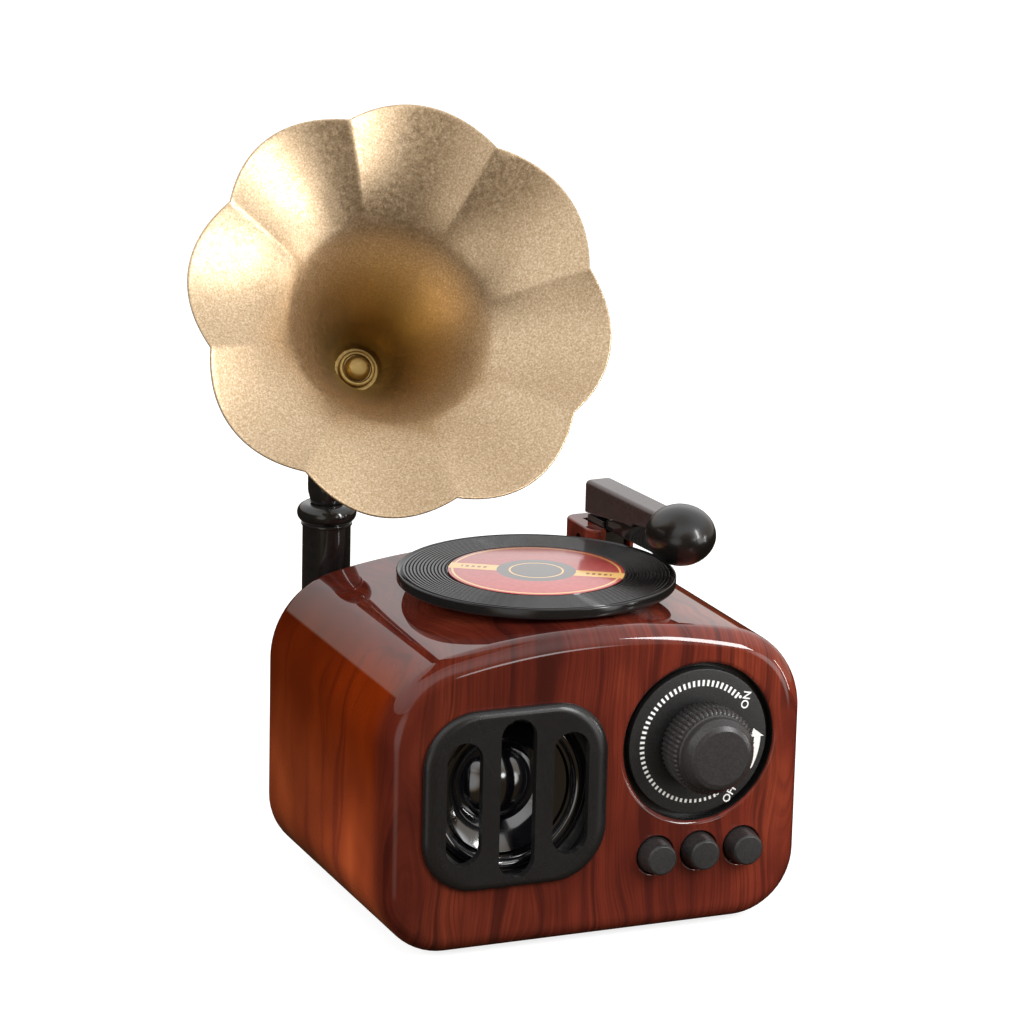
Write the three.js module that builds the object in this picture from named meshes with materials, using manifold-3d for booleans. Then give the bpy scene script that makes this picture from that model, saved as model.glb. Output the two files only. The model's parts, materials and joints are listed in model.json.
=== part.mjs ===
// A miniature loudspeaker styled as a table gramophone: a moulded cabinet with a grille, a volume
// dial and three keys on its front, a dummy record and tone arm on its arched top, and a petalled
// horn on a post behind it. Millimetres, +X to the right of the front, +Y to the rear, +Z up.
// The origin is the centre of the non-slip pad's underside.
import * as THREE from 'three';
import { mergeVertices } from 'three/addons/utils/BufferGeometryUtils.js';
import Module from 'manifold-3d';

const wasm = await Module();
wasm.setup();

const { sin, cos, tan, PI, hypot, abs, sqrt } = Math;
const degrees = PI / 180;

// ---------------------------------------------------------------- driving dimensions
const gap = 0.3; // air between two pieces that touch or run in each other
const cabinet = {
  width: 100, depth: 79.4, crest: 71.2, wall: 3, edge: 4.6,
  bottomRadius: 15, topRadius: 20, shoulder: 48,
};
const front = -cabinet.depth / 2;
const rear = cabinet.depth / 2;
const innerFront = front + cabinet.wall;
const cover = { inset: 6.1, thickness: 2.2, setBack: 0.5 };
const coverInner = rear - cover.setBack - cover.thickness;
const coverOuter = rear - cover.setBack;
const columns = [[-39.6, 10.2], [39.6, 10.2], [-37.8, 55.8], [37.8, 55.8]];
const pad = { width: 64, length: 52, thickness: 1 };
const grille = {
  x: -20.2, z: 35.4, width: 43.6, height: 41.2, radius: 12.5, proud: 2,
  slotWidth: 8.4, slotPitch: 12.6, slotShort: 28.1, slotLong: 36.4,
};
const driver = { flange: 22, y: front + 4.4 };
const dial = { x: 24.2, z: 43.1, plate: 16.8, well: 18.1, lip: 19.4, floor: 3.1, set: 0.8 };
const knob = { root: 9.3, knurl: 9.9, teeth: 52, cap: 8.5, disc: 6.3, length: 12, shoulder: 7.8 };
const shaftRadius = 2.5;
const key = { x: 14.3, pitch: 10.6, z: 17.8, radius: 4.2, proud: 4, count: 3 };
const record = { x: 0.4, y: -1, radius: 31.7, top: 74.55, thickness: 2.5, label: 20 };
const arm = {
  x: 29.7, pivotY: 27.5, pivotZ: 72.8, yaw: 4.5 * degrees, width: 7, legWidth: 5.9,
  top: 86, bottom: 78.1, webBottom: 75.8, rearOverhang: 3.3, reach: 36.2,
};
const plinth = {
  x: 29.2, width: 12.2, frontY: 20.2, rearY: 36.4, top: 76.3, corner: 3.2, slotFloor: 69.8,
};
const post = { x: -32.6, y: rear + 6.6, radius: 5.65, collar: 6.95, collarZ: 78.9, foot: 42.3 };
const horn = {
  yaw: -7.48 * degrees, pitch: 29 * degrees, cornerZ: 103.9, throat: 31.3, mouth: 79.6,
  petals: 8, petalRadius: 3.5, petalCurl: -1.1, notchRadius: 43.3, creaseRadius: 23,
  notchAngle: 99.9 * degrees, wall: 1.1, neck: 4.5, bend: 16,
};
const board = { left: -6, right: 34, bottom: 14, top: 42, front: 30, thickness: 1.4 };

// ---------------------------------------------------------------- finishes
const finish = (color, roughness, metalness = 0) => ({ color, roughness, metalness });
const wood = finish('#5e1a0c', 0.15);
const black = finish('#151413', 0.25);
const satinBlack = finish('#222222', 0.5);
const armBrown = finish('#2c1f1d', 0.3);
const gold = finish('#b39868', 0.35, 0.8);
const steel = finish('#b9bcbf', 0.3, 1);
const vinyl = finish('#101010', 0.35);
const paper = finish('#b04038', 0.6);
const rubber = finish('#1a1a1a', 0.85);
const green = finish('#1d5c34', 0.5);
const copper = finish('#b06a3a', 0.35, 1);
const silverFoil = finish('#c6c8c9', 0.4, 0.6);
const ferrite = finish('#3a3a3c', 0.7);

// ---------------------------------------------------------------- solids
// A closed three.js geometry as a manifold, turned outward if its faces point in.
function solid(geometry) {
  const bare = geometry.index ? geometry.toNonIndexed() : geometry.clone();
  for (const name of Object.keys(bare.attributes)) {
    if (name !== 'position') bare.deleteAttribute(name);
  }
  const merged = mergeVertices(bare, 1e-4);
  const index = merged.index.array;
  const place = merged.attributes.position;
  const triangles = [];
  let volume = 0;
  const [a, b, c] = [new THREE.Vector3(), new THREE.Vector3(), new THREE.Vector3()];
  for (let i = 0; i < index.length; i += 3) {
    const [p, q, r] = [index[i], index[i + 1], index[i + 2]];
    if (p === q || q === r || r === p) continue;
    triangles.push(p, q, r);
    a.fromBufferAttribute(place, p);
    b.fromBufferAttribute(place, q);
    c.fromBufferAttribute(place, r);
    volume += a.dot(b.cross(c));
  }
  if (volume < 0) {
    for (let i = 0; i < triangles.length; i += 3) {
      [triangles[i + 1], triangles[i + 2]] = [triangles[i + 2], triangles[i + 1]];
    }
  }
  const mesh = new wasm.Mesh({
    numProp: 3,
    vertProperties: new Float32Array(place.array),
    triVerts: new Uint32Array(triangles),
  });
  return new wasm.Manifold(mesh);
}

function geometryOf(body) {
  const mesh = body.getMesh();
  const geometry = new THREE.BufferGeometry();
  geometry.setAttribute('position', new THREE.BufferAttribute(mesh.vertProperties, 3));
  geometry.setIndex(new THREE.BufferAttribute(mesh.triVerts, 1));
  return geometry;
}

const join = (first, ...others) => others.reduce((body, other) => body.add(other), first);
const cut = (first, ...others) => others.reduce((body, other) => body.subtract(other), first);

// A profile of [radius, height] points turned about Z.
function turned(profile, segments = 20) {
  const points = profile.map(([radius, height]) => new THREE.Vector2(radius, height));
  return new THREE.LatheGeometry(points, segments).rotateX(PI / 2);
}

const turnedSolid = (profile, segments) => solid(turned(profile, segments));

// A closed ring profile, for a piece with a hole along its axis.
const ringProfile = (outer, inner, low, high) =>
  [[inner, low], [outer, low], [outer, high], [inner, high], [inner, low]];

const rodZ = (radius, low, high, x = 0, y = 0, segments = 18) =>
  solid(turned([[0, low], [radius, low], [radius, high], [0, high]], segments).translate(x, y, 0));

// The same pieces along Y: a height in the profile becomes a Y coordinate.
const turnedY = (profile, x, z, segments = 20) =>
  turned(profile.map(([radius, y]) => [radius, -y]), segments).rotateX(PI / 2).translate(x, 0, z);

const rodY = (radius, low, high, x, z, segments = 18) =>
  solid(turnedY([[0, low], [radius, low], [radius, high], [0, high]], x, z, segments));

const ringY = (outer, inner, low, high, x, z, segments = 20) =>
  solid(turnedY(ringProfile(outer, inner, low, high), x, z, segments));

const rodX = (radius, low, high, y, z, segments = 16) =>
  solid(turned([[0, low], [radius, low], [radius, high], [0, high]], segments)
    .rotateY(PI / 2).translate(0, y, z));

function block(x0, x1, y0, y1, z0, z1) {
  const box = new THREE.BoxGeometry(x1 - x0, y1 - y0, z1 - z0);
  return solid(box.translate((x0 + x1) / 2, (y0 + y1) / 2, (z0 + z1) / 2));
}

// An outline drawn in X and Z, given a depth from y0 to y1, with both its edges rounded by `edge`.
function slab(shape, y0, y1, edge = 0, curveSegments = 4) {
  const geometry = new THREE.ExtrudeGeometry(shape, {
    depth: y1 - y0 - 2 * edge, curveSegments, bevelEnabled: edge > 0, bevelThickness: edge,
    bevelSize: edge, bevelOffset: -edge, bevelSegments: edge > 2 ? 3 : 2,
  });
  return solid(geometry.rotateX(PI / 2).translate(0, y1 - edge, 0));
}

function roundedRectangle(x, z, width, height, radius) {
  const shape = new THREE.Shape();
  const [w, h] = [width / 2 - radius, height / 2 - radius];
  shape.absarc(x + w, z - h, radius, -PI / 2, 0);
  shape.absarc(x + w, z + h, radius, 0, PI / 2);
  shape.absarc(x - w, z + h, radius, PI / 2, PI);
  shape.absarc(x - w, z - h, radius, PI, 1.5 * PI);
  shape.closePath();
  return shape;
}

// ---------------------------------------------------------------- scene graph
const object = new THREE.Group();
object.position.z = pad.thickness + gap;

function piece(name, body, look, parent = object) {
  const mesh = new THREE.Mesh(geometryOf(body), new THREE.MeshStandardMaterial(look));
  mesh.name = name;
  parent.add(mesh);
  return mesh;
}

// A pan-head screw along Y, its head on the side that `out` points to.
function screw(name, x, z, seat, length, out = 1, shank = 1) {
  const head = seat + out * gap;
  const profile = [
    [0, seat - out * length], [shank, seat - out * length], [shank, head], [2.1, head],
    [2.1, head + out * 0.7], [1.4, head + out * 1.3], [0, head + out * 1.3],
  ];
  piece(name, solid(turnedY(profile, x, z, 10)), steel);
}

// ---------------------------------------------------------------- cabinet
// The cabinet's front outline, set in by `inset`: flat floor, straight sides, and an arched top
// that meets the round shoulders without a corner.
const shoulderX = cabinet.width / 2 - cabinet.topRadius;
const rise = cabinet.crest - cabinet.shoulder;
const archRadius = (shoulderX ** 2 + rise ** 2 - cabinet.topRadius ** 2)
  / (2 * (rise - cabinet.topRadius));
const archZ = cabinet.crest - archRadius;
const lean = Math.atan2(shoulderX, cabinet.shoulder - archZ);

function cabinetOutline(inset) {
  const shape = new THREE.Shape();
  const cornerX = cabinet.width / 2 - cabinet.bottomRadius;
  const low = cabinet.bottomRadius;
  shape.absarc(cornerX, low, low - inset, -PI / 2, 0);
  shape.absarc(shoulderX, cabinet.shoulder, cabinet.topRadius - inset, 0, PI / 2 - lean);
  shape.absarc(0, archZ, archRadius - inset, PI / 2 - lean, PI / 2 + lean);
  shape.absarc(-shoulderX, cabinet.shoulder, cabinet.topRadius - inset, PI / 2 + lean, PI);
  shape.absarc(-cornerX, low, low - inset, PI, 1.5 * PI);
  shape.closePath();
  return shape;
}

const keyX = (index) => key.x + index * key.pitch;
const keys = [...Array(key.count).keys()];
const grilleHole = { width: 38.6, height: 38.2, radius: 14 };
const rimStart = coverInner - 0.6;
const innerCeiling = (x) => archZ + sqrt((archRadius - cabinet.wall) ** 2 - x ** 2);
const plinthScrewY = 34.3;
const plinthSeat = innerCeiling(arm.x) - 1.6;
const buttonPosts = [6.6, 43];
const buttonBoardY = -30.2;

function cabinetShell() {
  const outer = slab(cabinetOutline(0), front, rear, cabinet.edge);
  const cavity = slab(cabinetOutline(cabinet.wall), innerFront, rimStart);
  const opening = slab(cabinetOutline(cover.inset - gap), rimStart - 1, rear + 1);
  let body = cut(outer, cavity, opening);
  for (const [x, z] of columns) {
    const column = rodY(3.2, innerFront - 1, coverInner - gap, x, z, 10);
    const rib = new THREE.BoxGeometry(5, rimStart - innerFront + 1, 1.6);
    rib.rotateY(z < cabinet.shoulder / 2 ? PI / 4 * Math.sign(x) : -PI / 4 * Math.sign(x));
    const down = z < cabinet.shoulder / 2 ? -1 : 1;
    rib.translate(x + Math.sign(x) * 3, (rimStart + innerFront - 1) / 2, z + down * 3);
    body = join(body, column, solid(rib));
    body = cut(body, rodY(1.3, coverInner - 12, coverInner, x, z, 10));
  }
  for (const x of buttonPosts) {
    body = join(body, rodY(2, innerFront - 1, buttonBoardY - gap, x, key.z, 12));
    body = join(body, rodY(1, buttonBoardY - 1, buttonBoardY + 1.8, x, key.z, 12));
  }
  body = join(body, rodY(dial.well + 1, innerFront - 0.2, front + 5.5, dial.x, dial.z, 32));
  const boss = rodZ(2.8, plinthSeat, innerCeiling(arm.x) + 1, arm.x, plinthScrewY, 12);
  body = join(body, boss);
  const well = turnedY([
    [0, front + dial.floor], [dial.well, front + dial.floor], [dial.well, front + 1.3],
    [dial.well + 0.6, front + 0.5], [dial.lip, front], [dial.lip + 0.6, front - 1], [0, front - 1],
  ], dial.x, dial.z, 32);
  body = cut(body, solid(well), rodY(3.9, front - 1, front + 7, dial.x, dial.z));
  const speakerHole = roundedRectangle(
    grille.x, grille.z, grilleHole.width, grilleHole.height, grilleHole.radius);
  body = cut(body, slab(speakerHole, front - 1, innerFront + 1));
  for (const index of keys) {
    body = cut(body, rodY(key.radius + gap, front - 1, innerFront + 1, keyX(index), key.z));
  }
  for (const [x, z] of driverScrews()) body = cut(body, rodY(1, innerFront - 2, 0, x, z, 10));
  body = cut(body, rodZ(1.3, plinthSeat - 1, cabinet.crest, arm.x, plinthScrewY, 12));
  return cut(body, rodZ(3.9, cabinet.crest - 6, cabinet.crest + 1, record.x, record.y));
}

function rearCover() {
  let body = slab(cabinetOutline(cover.inset), coverInner, coverOuter);
  for (const [x, z] of boardPegs()) {
    body = join(body, rodY(2.2, board.front + board.thickness + gap, coverInner + 1, x, z, 12));
    body = cut(body, rodY(1, board.front, coverInner, x, z, 10));
  }
  for (const [x, z] of columns) body = cut(body, rodY(1.4, 30, rear, x, z, 12));
  for (const [x, z] of bracketScrews()) body = cut(body, rodY(1.4, 30, rear, x, z, 12));
  for (const socket of [chargingSocket, cardSlot]) {
    const w = socket.width / 2 + 0.5;
    const h = socket.height / 2 + 0.5;
    body = cut(body, block(socket.x - w, socket.x + w, 33, rear, socket.z - h, socket.z + h));
  }
  for (let slot = 0; slot < 5; slot += 1) {
    const x = 6 + slot * 4;
    body = cut(body, block(x - 0.9, x + 0.9, 33, rear + 1, 47, 59));
  }
  return body;
}

function basePad() {
  const shape = roundedRectangle(0, 0, pad.width, pad.length, 8);
  const sheet = new THREE.ExtrudeGeometry(shape, {
    depth: pad.thickness, bevelEnabled: false, curveSegments: 4,
  });
  return solid(sheet.translate(0, 0, -gap - pad.thickness));
}

// ---------------------------------------------------------------- speaker
function driverScrews() {
  const reach = 20.6;
  return [[grille.x, grille.z + reach], [grille.x, grille.z - reach]];
}

function speakerGrille() {
  const face = roundedRectangle(grille.x, grille.z, grille.width, grille.height, grille.radius);
  const spigot = roundedRectangle(
    grille.x, grille.z, grilleHole.width - 2 * gap, grilleHole.height - 2 * gap,
    grilleHole.radius - gap);
  const bore = roundedRectangle(
    grille.x, grille.z, grilleHole.width - 1.8, grilleHole.height - 1.8, grilleHole.radius - 0.9);
  const flat = slab(face, front - grille.proud, front - gap + 2, 1.6);
  const trimmed = cut(flat, block(-60, 20, front - gap, front + 4, 0, 70));
  let body = join(trimmed, slab(spigot, front - gap - 0.5, front + 2.2));
  body = cut(body, slab(bore, front - 0.1, front + 3));
  for (const side of [-1, 0, 1]) {
    const height = side === 0 ? grille.slotLong : grille.slotShort;
    const shape = roundedRectangle(
      grille.x + side * grille.slotPitch, grille.z, grille.slotWidth, height,
      grille.slotWidth / 2 - 0.01);
    body = cut(body, slab(shape, front - 4, front + 4));
  }
  return body;
}

// The driver's turned pieces, from its front flange back to the yoke. Each profile is a list of
// [radius, distance behind the flange's front face].
function driverPart(profile, segments = 20) {
  const placed = profile.map(([radius, back]) => [radius, driver.y + back]);
  return solid(turnedY(placed, grille.x, grille.z, segments));
}

function driverBasket() {
  let body = driverPart([
    [19.2, 0], [driver.flange, 0], [driver.flange, 1.5], [18, 1.5], [12.4, 10.5], [11.4, 12.8],
    [7, 12.8], [7, 11.8], [10.6, 11.8], [17, 1.1], [19.2, 1.1], [19.2, 0],
  ]);
  for (const [x, z] of driverScrews()) body = cut(body, rodY(1.1, front, 0, x, z, 10));
  for (const angle of [45, 135, 225, 315]) {
    const window = new THREE.BoxGeometry(8, 5.5, 20).translate(0, driver.y + 6.2, 17);
    window.rotateY(angle * degrees).translate(grille.x, 0, grille.z);
    body = cut(body, solid(window));
  }
  return body;
}

function halfRoll(inner, outer, base, height, thickness) {
  const middle = (inner + outer) / 2;
  const reach = (outer - inner) / 2 - 0.8;
  const line = (scale, drop) => [...Array(5).keys()].map((step) => {
    const angle = PI * step / 4;
    return [middle - (reach - scale) * cos(angle), base + drop - (height - drop) * sin(angle)];
  });
  const top = [[inner, base], ...line(0, 0), [outer, base]];
  const under = [[outer, base + thickness], ...line(thickness, thickness).reverse(),
    [inner, base + thickness]];
  return [...top, ...under, [inner, base]];
}

function buildSpeaker() {
  piece('speaker_grille', speakerGrille(), satinBlack);
  const holes = driverScrews().map(([x, z]) => rodY(1.1, front, 0, x, z, 10));
  const gasket = cut(driverPart(ringProfile(driver.flange, 19.2, -1.1, -0.3)), ...holes);
  piece('driver_gasket', gasket, rubber);
  piece('driver_basket', driverBasket(), black);
  piece('driver_surround', driverPart(halfRoll(15.1, 18.9, 0.3, 1.6, 0.5)), rubber);
  piece('driver_cone', driverPart([
    [6.9, 5.6], [14.8, 1.1], [14.8, 1.7], [6.9, 6.2], [6.9, 5.6]]), black);
  piece('dust_cap', driverPart([
    [0, 0.9], [2.6, 1.2], [5, 2.2], [6.9, 3.9], [7.4, 4.6], [6.8, 4.6], [4.8, 2.8], [2.5, 1.8],
    [0, 1.5]]), black);
  piece('voice_coil', driverPart(ringProfile(6.4, 5.8, 5.2, 14.8)), copper);
  piece('driver_top_plate', driverPart(ringProfile(11, 6.9, 13.1, 14.7)), steel);
  piece('driver_magnet', driverPart(ringProfile(12.5, 8, 15, 21.2)), ferrite);
  piece('driver_yoke', driverPart([
    [0, 13.1], [5.3, 13.1], [5.3, 21.5], [12.2, 21.5], [12.2, 23.2], [0, 23.2]]), steel);
  driverScrews().forEach(([x, z], index) => {
    screw(`driver_screw_${index + 1}`, x, z, driver.y + 1.5, 4.9, 1, 0.8 * (1 - gap / 2));
  });
}

// ---------------------------------------------------------------- electronics
const chargingSocket = { x: 6, z: 24, width: 8, height: 3.2 };
const cardSlot = { x: 22, z: 24, width: 12.4, height: 2.4 };

function boardPegs() {
  return [[board.left + 3, board.bottom + 3], [board.right - 3, board.top - 3]];
}

function socketBody(socket) {
  const [w, h] = [socket.width / 2, socket.height / 2];
  const back = board.front + board.thickness + gap;
  const shell = block(socket.x - w, socket.x + w, back, coverOuter - 0.4,
    socket.z - h, socket.z + h);
  const mouth = block(socket.x - w + 0.5, socket.x + w - 0.5, back + 1.2, rear,
    socket.z - h + 0.5, socket.z + h - 0.5);
  return cut(shell, mouth);
}

function wire(points, radius) {
  const path = new THREE.CatmullRomCurve3(points.map((point) => new THREE.Vector3(...point)));
  const section = new THREE.Shape().absarc(0, 0, radius, 0, 2 * PI);
  return solid(new THREE.ExtrudeGeometry(section, {
    steps: 12, curveSegments: 4, extrudePath: path, bevelEnabled: false,
  }));
}

function potentiometer() {
  const [x, z] = [dial.x, dial.z];
  const body = block(x - 7, x + 7, front + 5.8, front + 13.6, z - 7, z + 7);
  const bush = rodY(3.6, front - 2.2, front + 6, x, z);
  return cut(join(body, bush), rodY(shaftRadius + gap, front - 3, front + 9, x, z));
}

function buildElectronics() {
  let mainBoard = block(board.left, board.right, board.front, board.front + board.thickness,
    board.bottom, board.top);
  for (const [x, z] of boardPegs()) mainBoard = cut(mainBoard, rodY(1.3, 20, 35, x, z, 10));
  piece('main_board', mainBoard, green);
  boardPegs().forEach(([x, z], index) => {
    screw(`board_screw_${index + 1}`, x, z, board.front, 5, -1, 0.7);
  });
  piece('wireless_module', block(4, 20, board.front - 2.6, board.front - gap, 28, 39), silverFoil);
  piece('charging_socket', socketBody(chargingSocket), steel);
  piece('card_slot', socketBody(cardSlot), steel);
  const cell = new THREE.Shape(roundedRectangle(0, 7.3, 50, 8, 2).getPoints(4));
  piece('battery_cell', slab(cell, -12, 24), silverFoil);
  piece('battery_lead', wire([[18, 24.6, 8], [18.4, 25.8, 9], [19.6, 26.4, 13],
    [20, 26.8, 17], [20, 27.8, 19.6], [20, 29.2, 20]], 0.8), satinBlack);
  piece('driver_lead', wire([[-11, -26, 19.5], [-8, -16, 17], [-2, 4, 16], [0, 20, 17],
    [0.8, 26.6, 19], [1, 29.2, 20]], 0.8), satinBlack);
  piece('potentiometer', potentiometer(), steel);
  const nut = cut(rodY(5.6, front - 1.8, front + dial.set - gap, dial.x, dial.z, 6),
    rodY(3.9, front - 3, front + 1, dial.x, dial.z));
  piece('potentiometer_nut', nut, steel);
  const left = buttonPosts[0] - 2.4;
  const right = buttonPosts[1] + 2.4;
  let buttonBoard = block(left, right, buttonBoardY, buttonBoardY + 1.2, key.z - 3.2, key.z + 3.2);
  for (const x of buttonPosts) buttonBoard = cut(buttonBoard, rodY(1.3, -35, -25, x, key.z, 12));
  piece('button_board', buttonBoard, green);
  for (const index of keys) {
    const x = keyX(index);
    const body = block(x - 3, x + 3, -34.2, buttonBoardY - gap, key.z - 3, key.z + 3);
    piece(`tact_switch_${index + 1}`, cut(body, rodY(1.9, -35, -31.8, x, key.z, 14)), satinBlack);
  }
}

// ---------------------------------------------------------------- dial and keys
function buildDial() {
  const plate = ringY(dial.plate, 3.9, front + dial.set, front + dial.floor - gap,
    dial.x, dial.z, 32);
  piece('dial_plate', plate, satinBlack);

  const y = (height) => front - height;
  const star = new THREE.Shape();
  for (let tooth = 0; tooth < 2 * knob.teeth; tooth += 1) {
    const angle = PI * tooth / knob.teeth;
    const radius = tooth % 2 ? knob.root : knob.knurl;
    const point = [dial.x + radius * cos(angle), dial.z + radius * sin(angle)];
    if (tooth) star.lineTo(...point);
    else star.moveTo(...point);
  }
  star.closePath();
  const cap = turnedY([
    [0, y(2)], [9.1, y(2)], [9.1, y(knob.shoulder)], [knob.cap, y(8.2)], [knob.cap, y(10)],
    [8, y(11.1)], [7.3, y(11.7)], [knob.disc, y(knob.length)], [0, y(knob.length)],
  ], dial.x, dial.z, 28);
  const skirt = slab(star, y(knob.shoulder), y(0.8));
  const hollow = rodY(6.4, y(2.8), y(0), dial.x, dial.z);
  const bore = rodY(shaftRadius + gap, y(9.4), y(0), dial.x, dial.z);
  piece('volume_knob', cut(join(skirt, solid(cap)), hollow, bore), satinBlack);
  piece('volume_shaft', rodY(shaftRadius, y(9.1), front + 8.6, dial.x, dial.z, 16), steel);
}

function buildKeys() {
  for (const index of keys) {
    const x = keyX(index);
    const face = front - key.proud;
    const profile = [
      [0, face], [3.1, face], [3.5, face + 0.4], [key.radius, front],
      [key.radius, innerFront + gap], [5.1, innerFront + gap], [5.1, innerFront + 1.1],
      [1.6, innerFront + 1.1], [1.6, innerFront + 3.4], [0, innerFront + 3.4],
    ];
    piece(`key_cap_${index + 1}`, solid(turnedY(profile, x, key.z, 18)), satinBlack);
  }
}

// ---------------------------------------------------------------- record
function buildRecord() {
  const bottom = record.top - record.thickness;
  const at = (profile, segments) => solid(turned(profile, segments)
    .translate(record.x, record.y, 0));
  piece('record_disc', at([
    [2.3, bottom], [record.radius - 0.5, bottom], [record.radius, bottom + 0.5],
    [record.radius, record.top - 0.4], [record.radius - 0.4, record.top],
    [record.label + gap, record.top], [record.label + gap, record.top - 0.6],
    [0, record.top - 0.6], [0, record.top - 1], [2.3, record.top - 1], [2.3, bottom],
  ], 40), vinyl);
  piece('record_label', at([
    [0, record.top - gap], [record.label, record.top - gap], [record.label, record.top],
    [0, record.top]], 32), paper);
  piece('spindle', rodZ(2, cabinet.crest - 8.2, record.top - 1.3, record.x, record.y, 16), steel);
  piece('spindle_clip', at(ringProfile(4, 2.3, cabinet.crest - 7.6, cabinet.crest - 6.8), 16),
    steel);
  piece('platter_bush', at([
    [2.3, cabinet.crest - 6.4], [6.5, cabinet.crest - 6.4], [6.5, cabinet.crest - 5],
    [3.6, cabinet.crest - 5], [3.6, bottom - gap], [2.3, bottom - gap],
    [2.3, cabinet.crest - 6.4]], 16), satinBlack);
}

// ---------------------------------------------------------------- tone arm
// The arm's own axes stand on the pivot: its X is the pin's line and the arm reaches along -Y.
function buildToneArm() {
  const armFrame = new THREE.Group();
  armFrame.position.set(arm.x, arm.pivotY, 0);
  armFrame.rotation.z = arm.yaw;
  object.add(armFrame);
  const legRear = 2.7;
  const legFront = -5.6;
  const slotWidth = arm.legWidth + 2 * gap;

  const turnedSlot = new THREE.BoxGeometry(slotWidth, 24, 12)
    .translate(0, 4.6 - 12, plinth.slotFloor + 6)
    .rotateZ(arm.yaw).translate(arm.x, arm.pivotY, 0);
  const pinHole = new THREE.CylinderGeometry(1.5, 1.5, 30, 14).rotateZ(PI / 2)
    .translate(0, 0, arm.pivotZ).rotateZ(arm.yaw).translate(arm.x, arm.pivotY, 0);
  const plan = roundedRectangle(plinth.x, (plinth.frontY + plinth.rearY) / 2,
    plinth.width, plinth.rearY - plinth.frontY, plinth.corner);
  const round = 0.6;
  const blank = new THREE.ExtrudeGeometry(plan, {
    depth: plinth.top - 60 - 2 * round, curveSegments: 5, bevelThickness: round, bevelSize: round,
    bevelOffset: -round, bevelSegments: 2,
  });
  const seat = slab(cabinetOutline(-gap), front - gap, rear + gap, cabinet.edge + gap);
  let base = solid(blank.translate(0, 0, 60 + round));
  base = cut(base, seat, solid(turnedSlot), solid(pinHole));
  base = cut(base, rodZ(1.3, 60, plinth.top - 1.8, arm.x, plinthScrewY, 12));
  piece('tonearm_plinth', base, wood);
  const under = plinthSeat - gap;
  const screwProfile = [
    [0, under - 1.3], [1.4, under - 1.3], [2.1, under - 0.7], [2.1, under], [1, under],
    [1, plinth.top - 2.2], [0, plinth.top - 2.2]];
  const plinthScrew = turned(screwProfile, 10).translate(arm.x, plinthScrewY, 0);
  piece('plinth_screw', solid(plinthScrew), steel);
  piece('tonearm_pin', rodX(1.2, -5, 5, 0, arm.pivotZ, 12), steel, armFrame);

  // Side outlines are drawn with X along the arm, then turned so that they lie across it.
  const across = (points, width) => {
    const shape = new THREE.Shape(points.map(([along, z]) => new THREE.Vector2(along, z)));
    const plate = new THREE.ExtrudeGeometry(shape, { depth: width, bevelEnabled: false });
    return solid(plate.rotateX(PI / 2).rotateZ(PI / 2).translate(-width / 2, 0, 0));
  };
  const heel = [...Array(5).keys()].map((step) => {
    const angle = -PI / 2 + step * PI / 8;
    return [2.65 * cos(angle), arm.pivotZ + 2.65 * sin(angle)];
  });
  const tip = -arm.reach;
  const leg = across([
    [legFront, arm.pivotZ - 2.65], ...heel, [legRear, arm.bottom - gap],
    [legFront, arm.bottom - gap]], arm.legWidth);
  const web = across([
    [tip + 8.4, arm.webBottom], [legFront + 0.5, arm.webBottom], [legFront + 0.5, arm.bottom],
    [tip + 8.4, arm.bottom + 1.6]], 4.4);
  const legBore = rodX(1.5, -10, 10, 0, arm.pivotZ, 14);
  piece('tonearm_leg', cut(join(leg, web), legBore), black, armFrame);

  const beam = across([
    [tip + 5, arm.bottom + 4], [tip + 16, arm.bottom + 2.8], [tip + 16.8, arm.bottom + 2],
    [tip + 20, arm.bottom + 1.9], [arm.rearOverhang, arm.bottom], [arm.rearOverhang, arm.top],
    [tip + 5, arm.top]], arm.width);
  const head = headSolid(tip, gap);
  piece('tonearm_beam', cut(beam, head), armBrown, armFrame);
  piece('tonearm_head', cut(headSolid(tip, 0), across([
    [tip + 4, arm.webBottom - gap], [tip + 12, arm.webBottom - gap], [tip + 12, arm.bottom + 1.9],
    [tip + 4, arm.bottom + 1.9]], 4.4 + 2 * gap)), black, armFrame);
}

// The egg-shaped head, flatter below its widest line, grown by `extra`.
function headSolid(tip, extra) {
  const centre = arm.webBottom + 6.2;
  const egg = new THREE.SphereGeometry(1, 20, 14).rotateX(PI / 2);
  const place = egg.attributes.position;
  for (let i = 0; i < place.count; i += 1) {
    const z = place.getZ(i);
    const height = z < 0 ? 6.9 : 7.2;
    place.setXYZ(i, place.getX(i) * (8.1 + extra), place.getY(i) * (8.3 + extra),
      z * (height + extra));
  }
  return solid(egg.translate(0, tip, centre));
}

// ---------------------------------------------------------------- post and horn
function bracketScrews() {
  return [[post.x - 5.4, 36.6], [post.x + 5.4, 36.6]];
}

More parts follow.
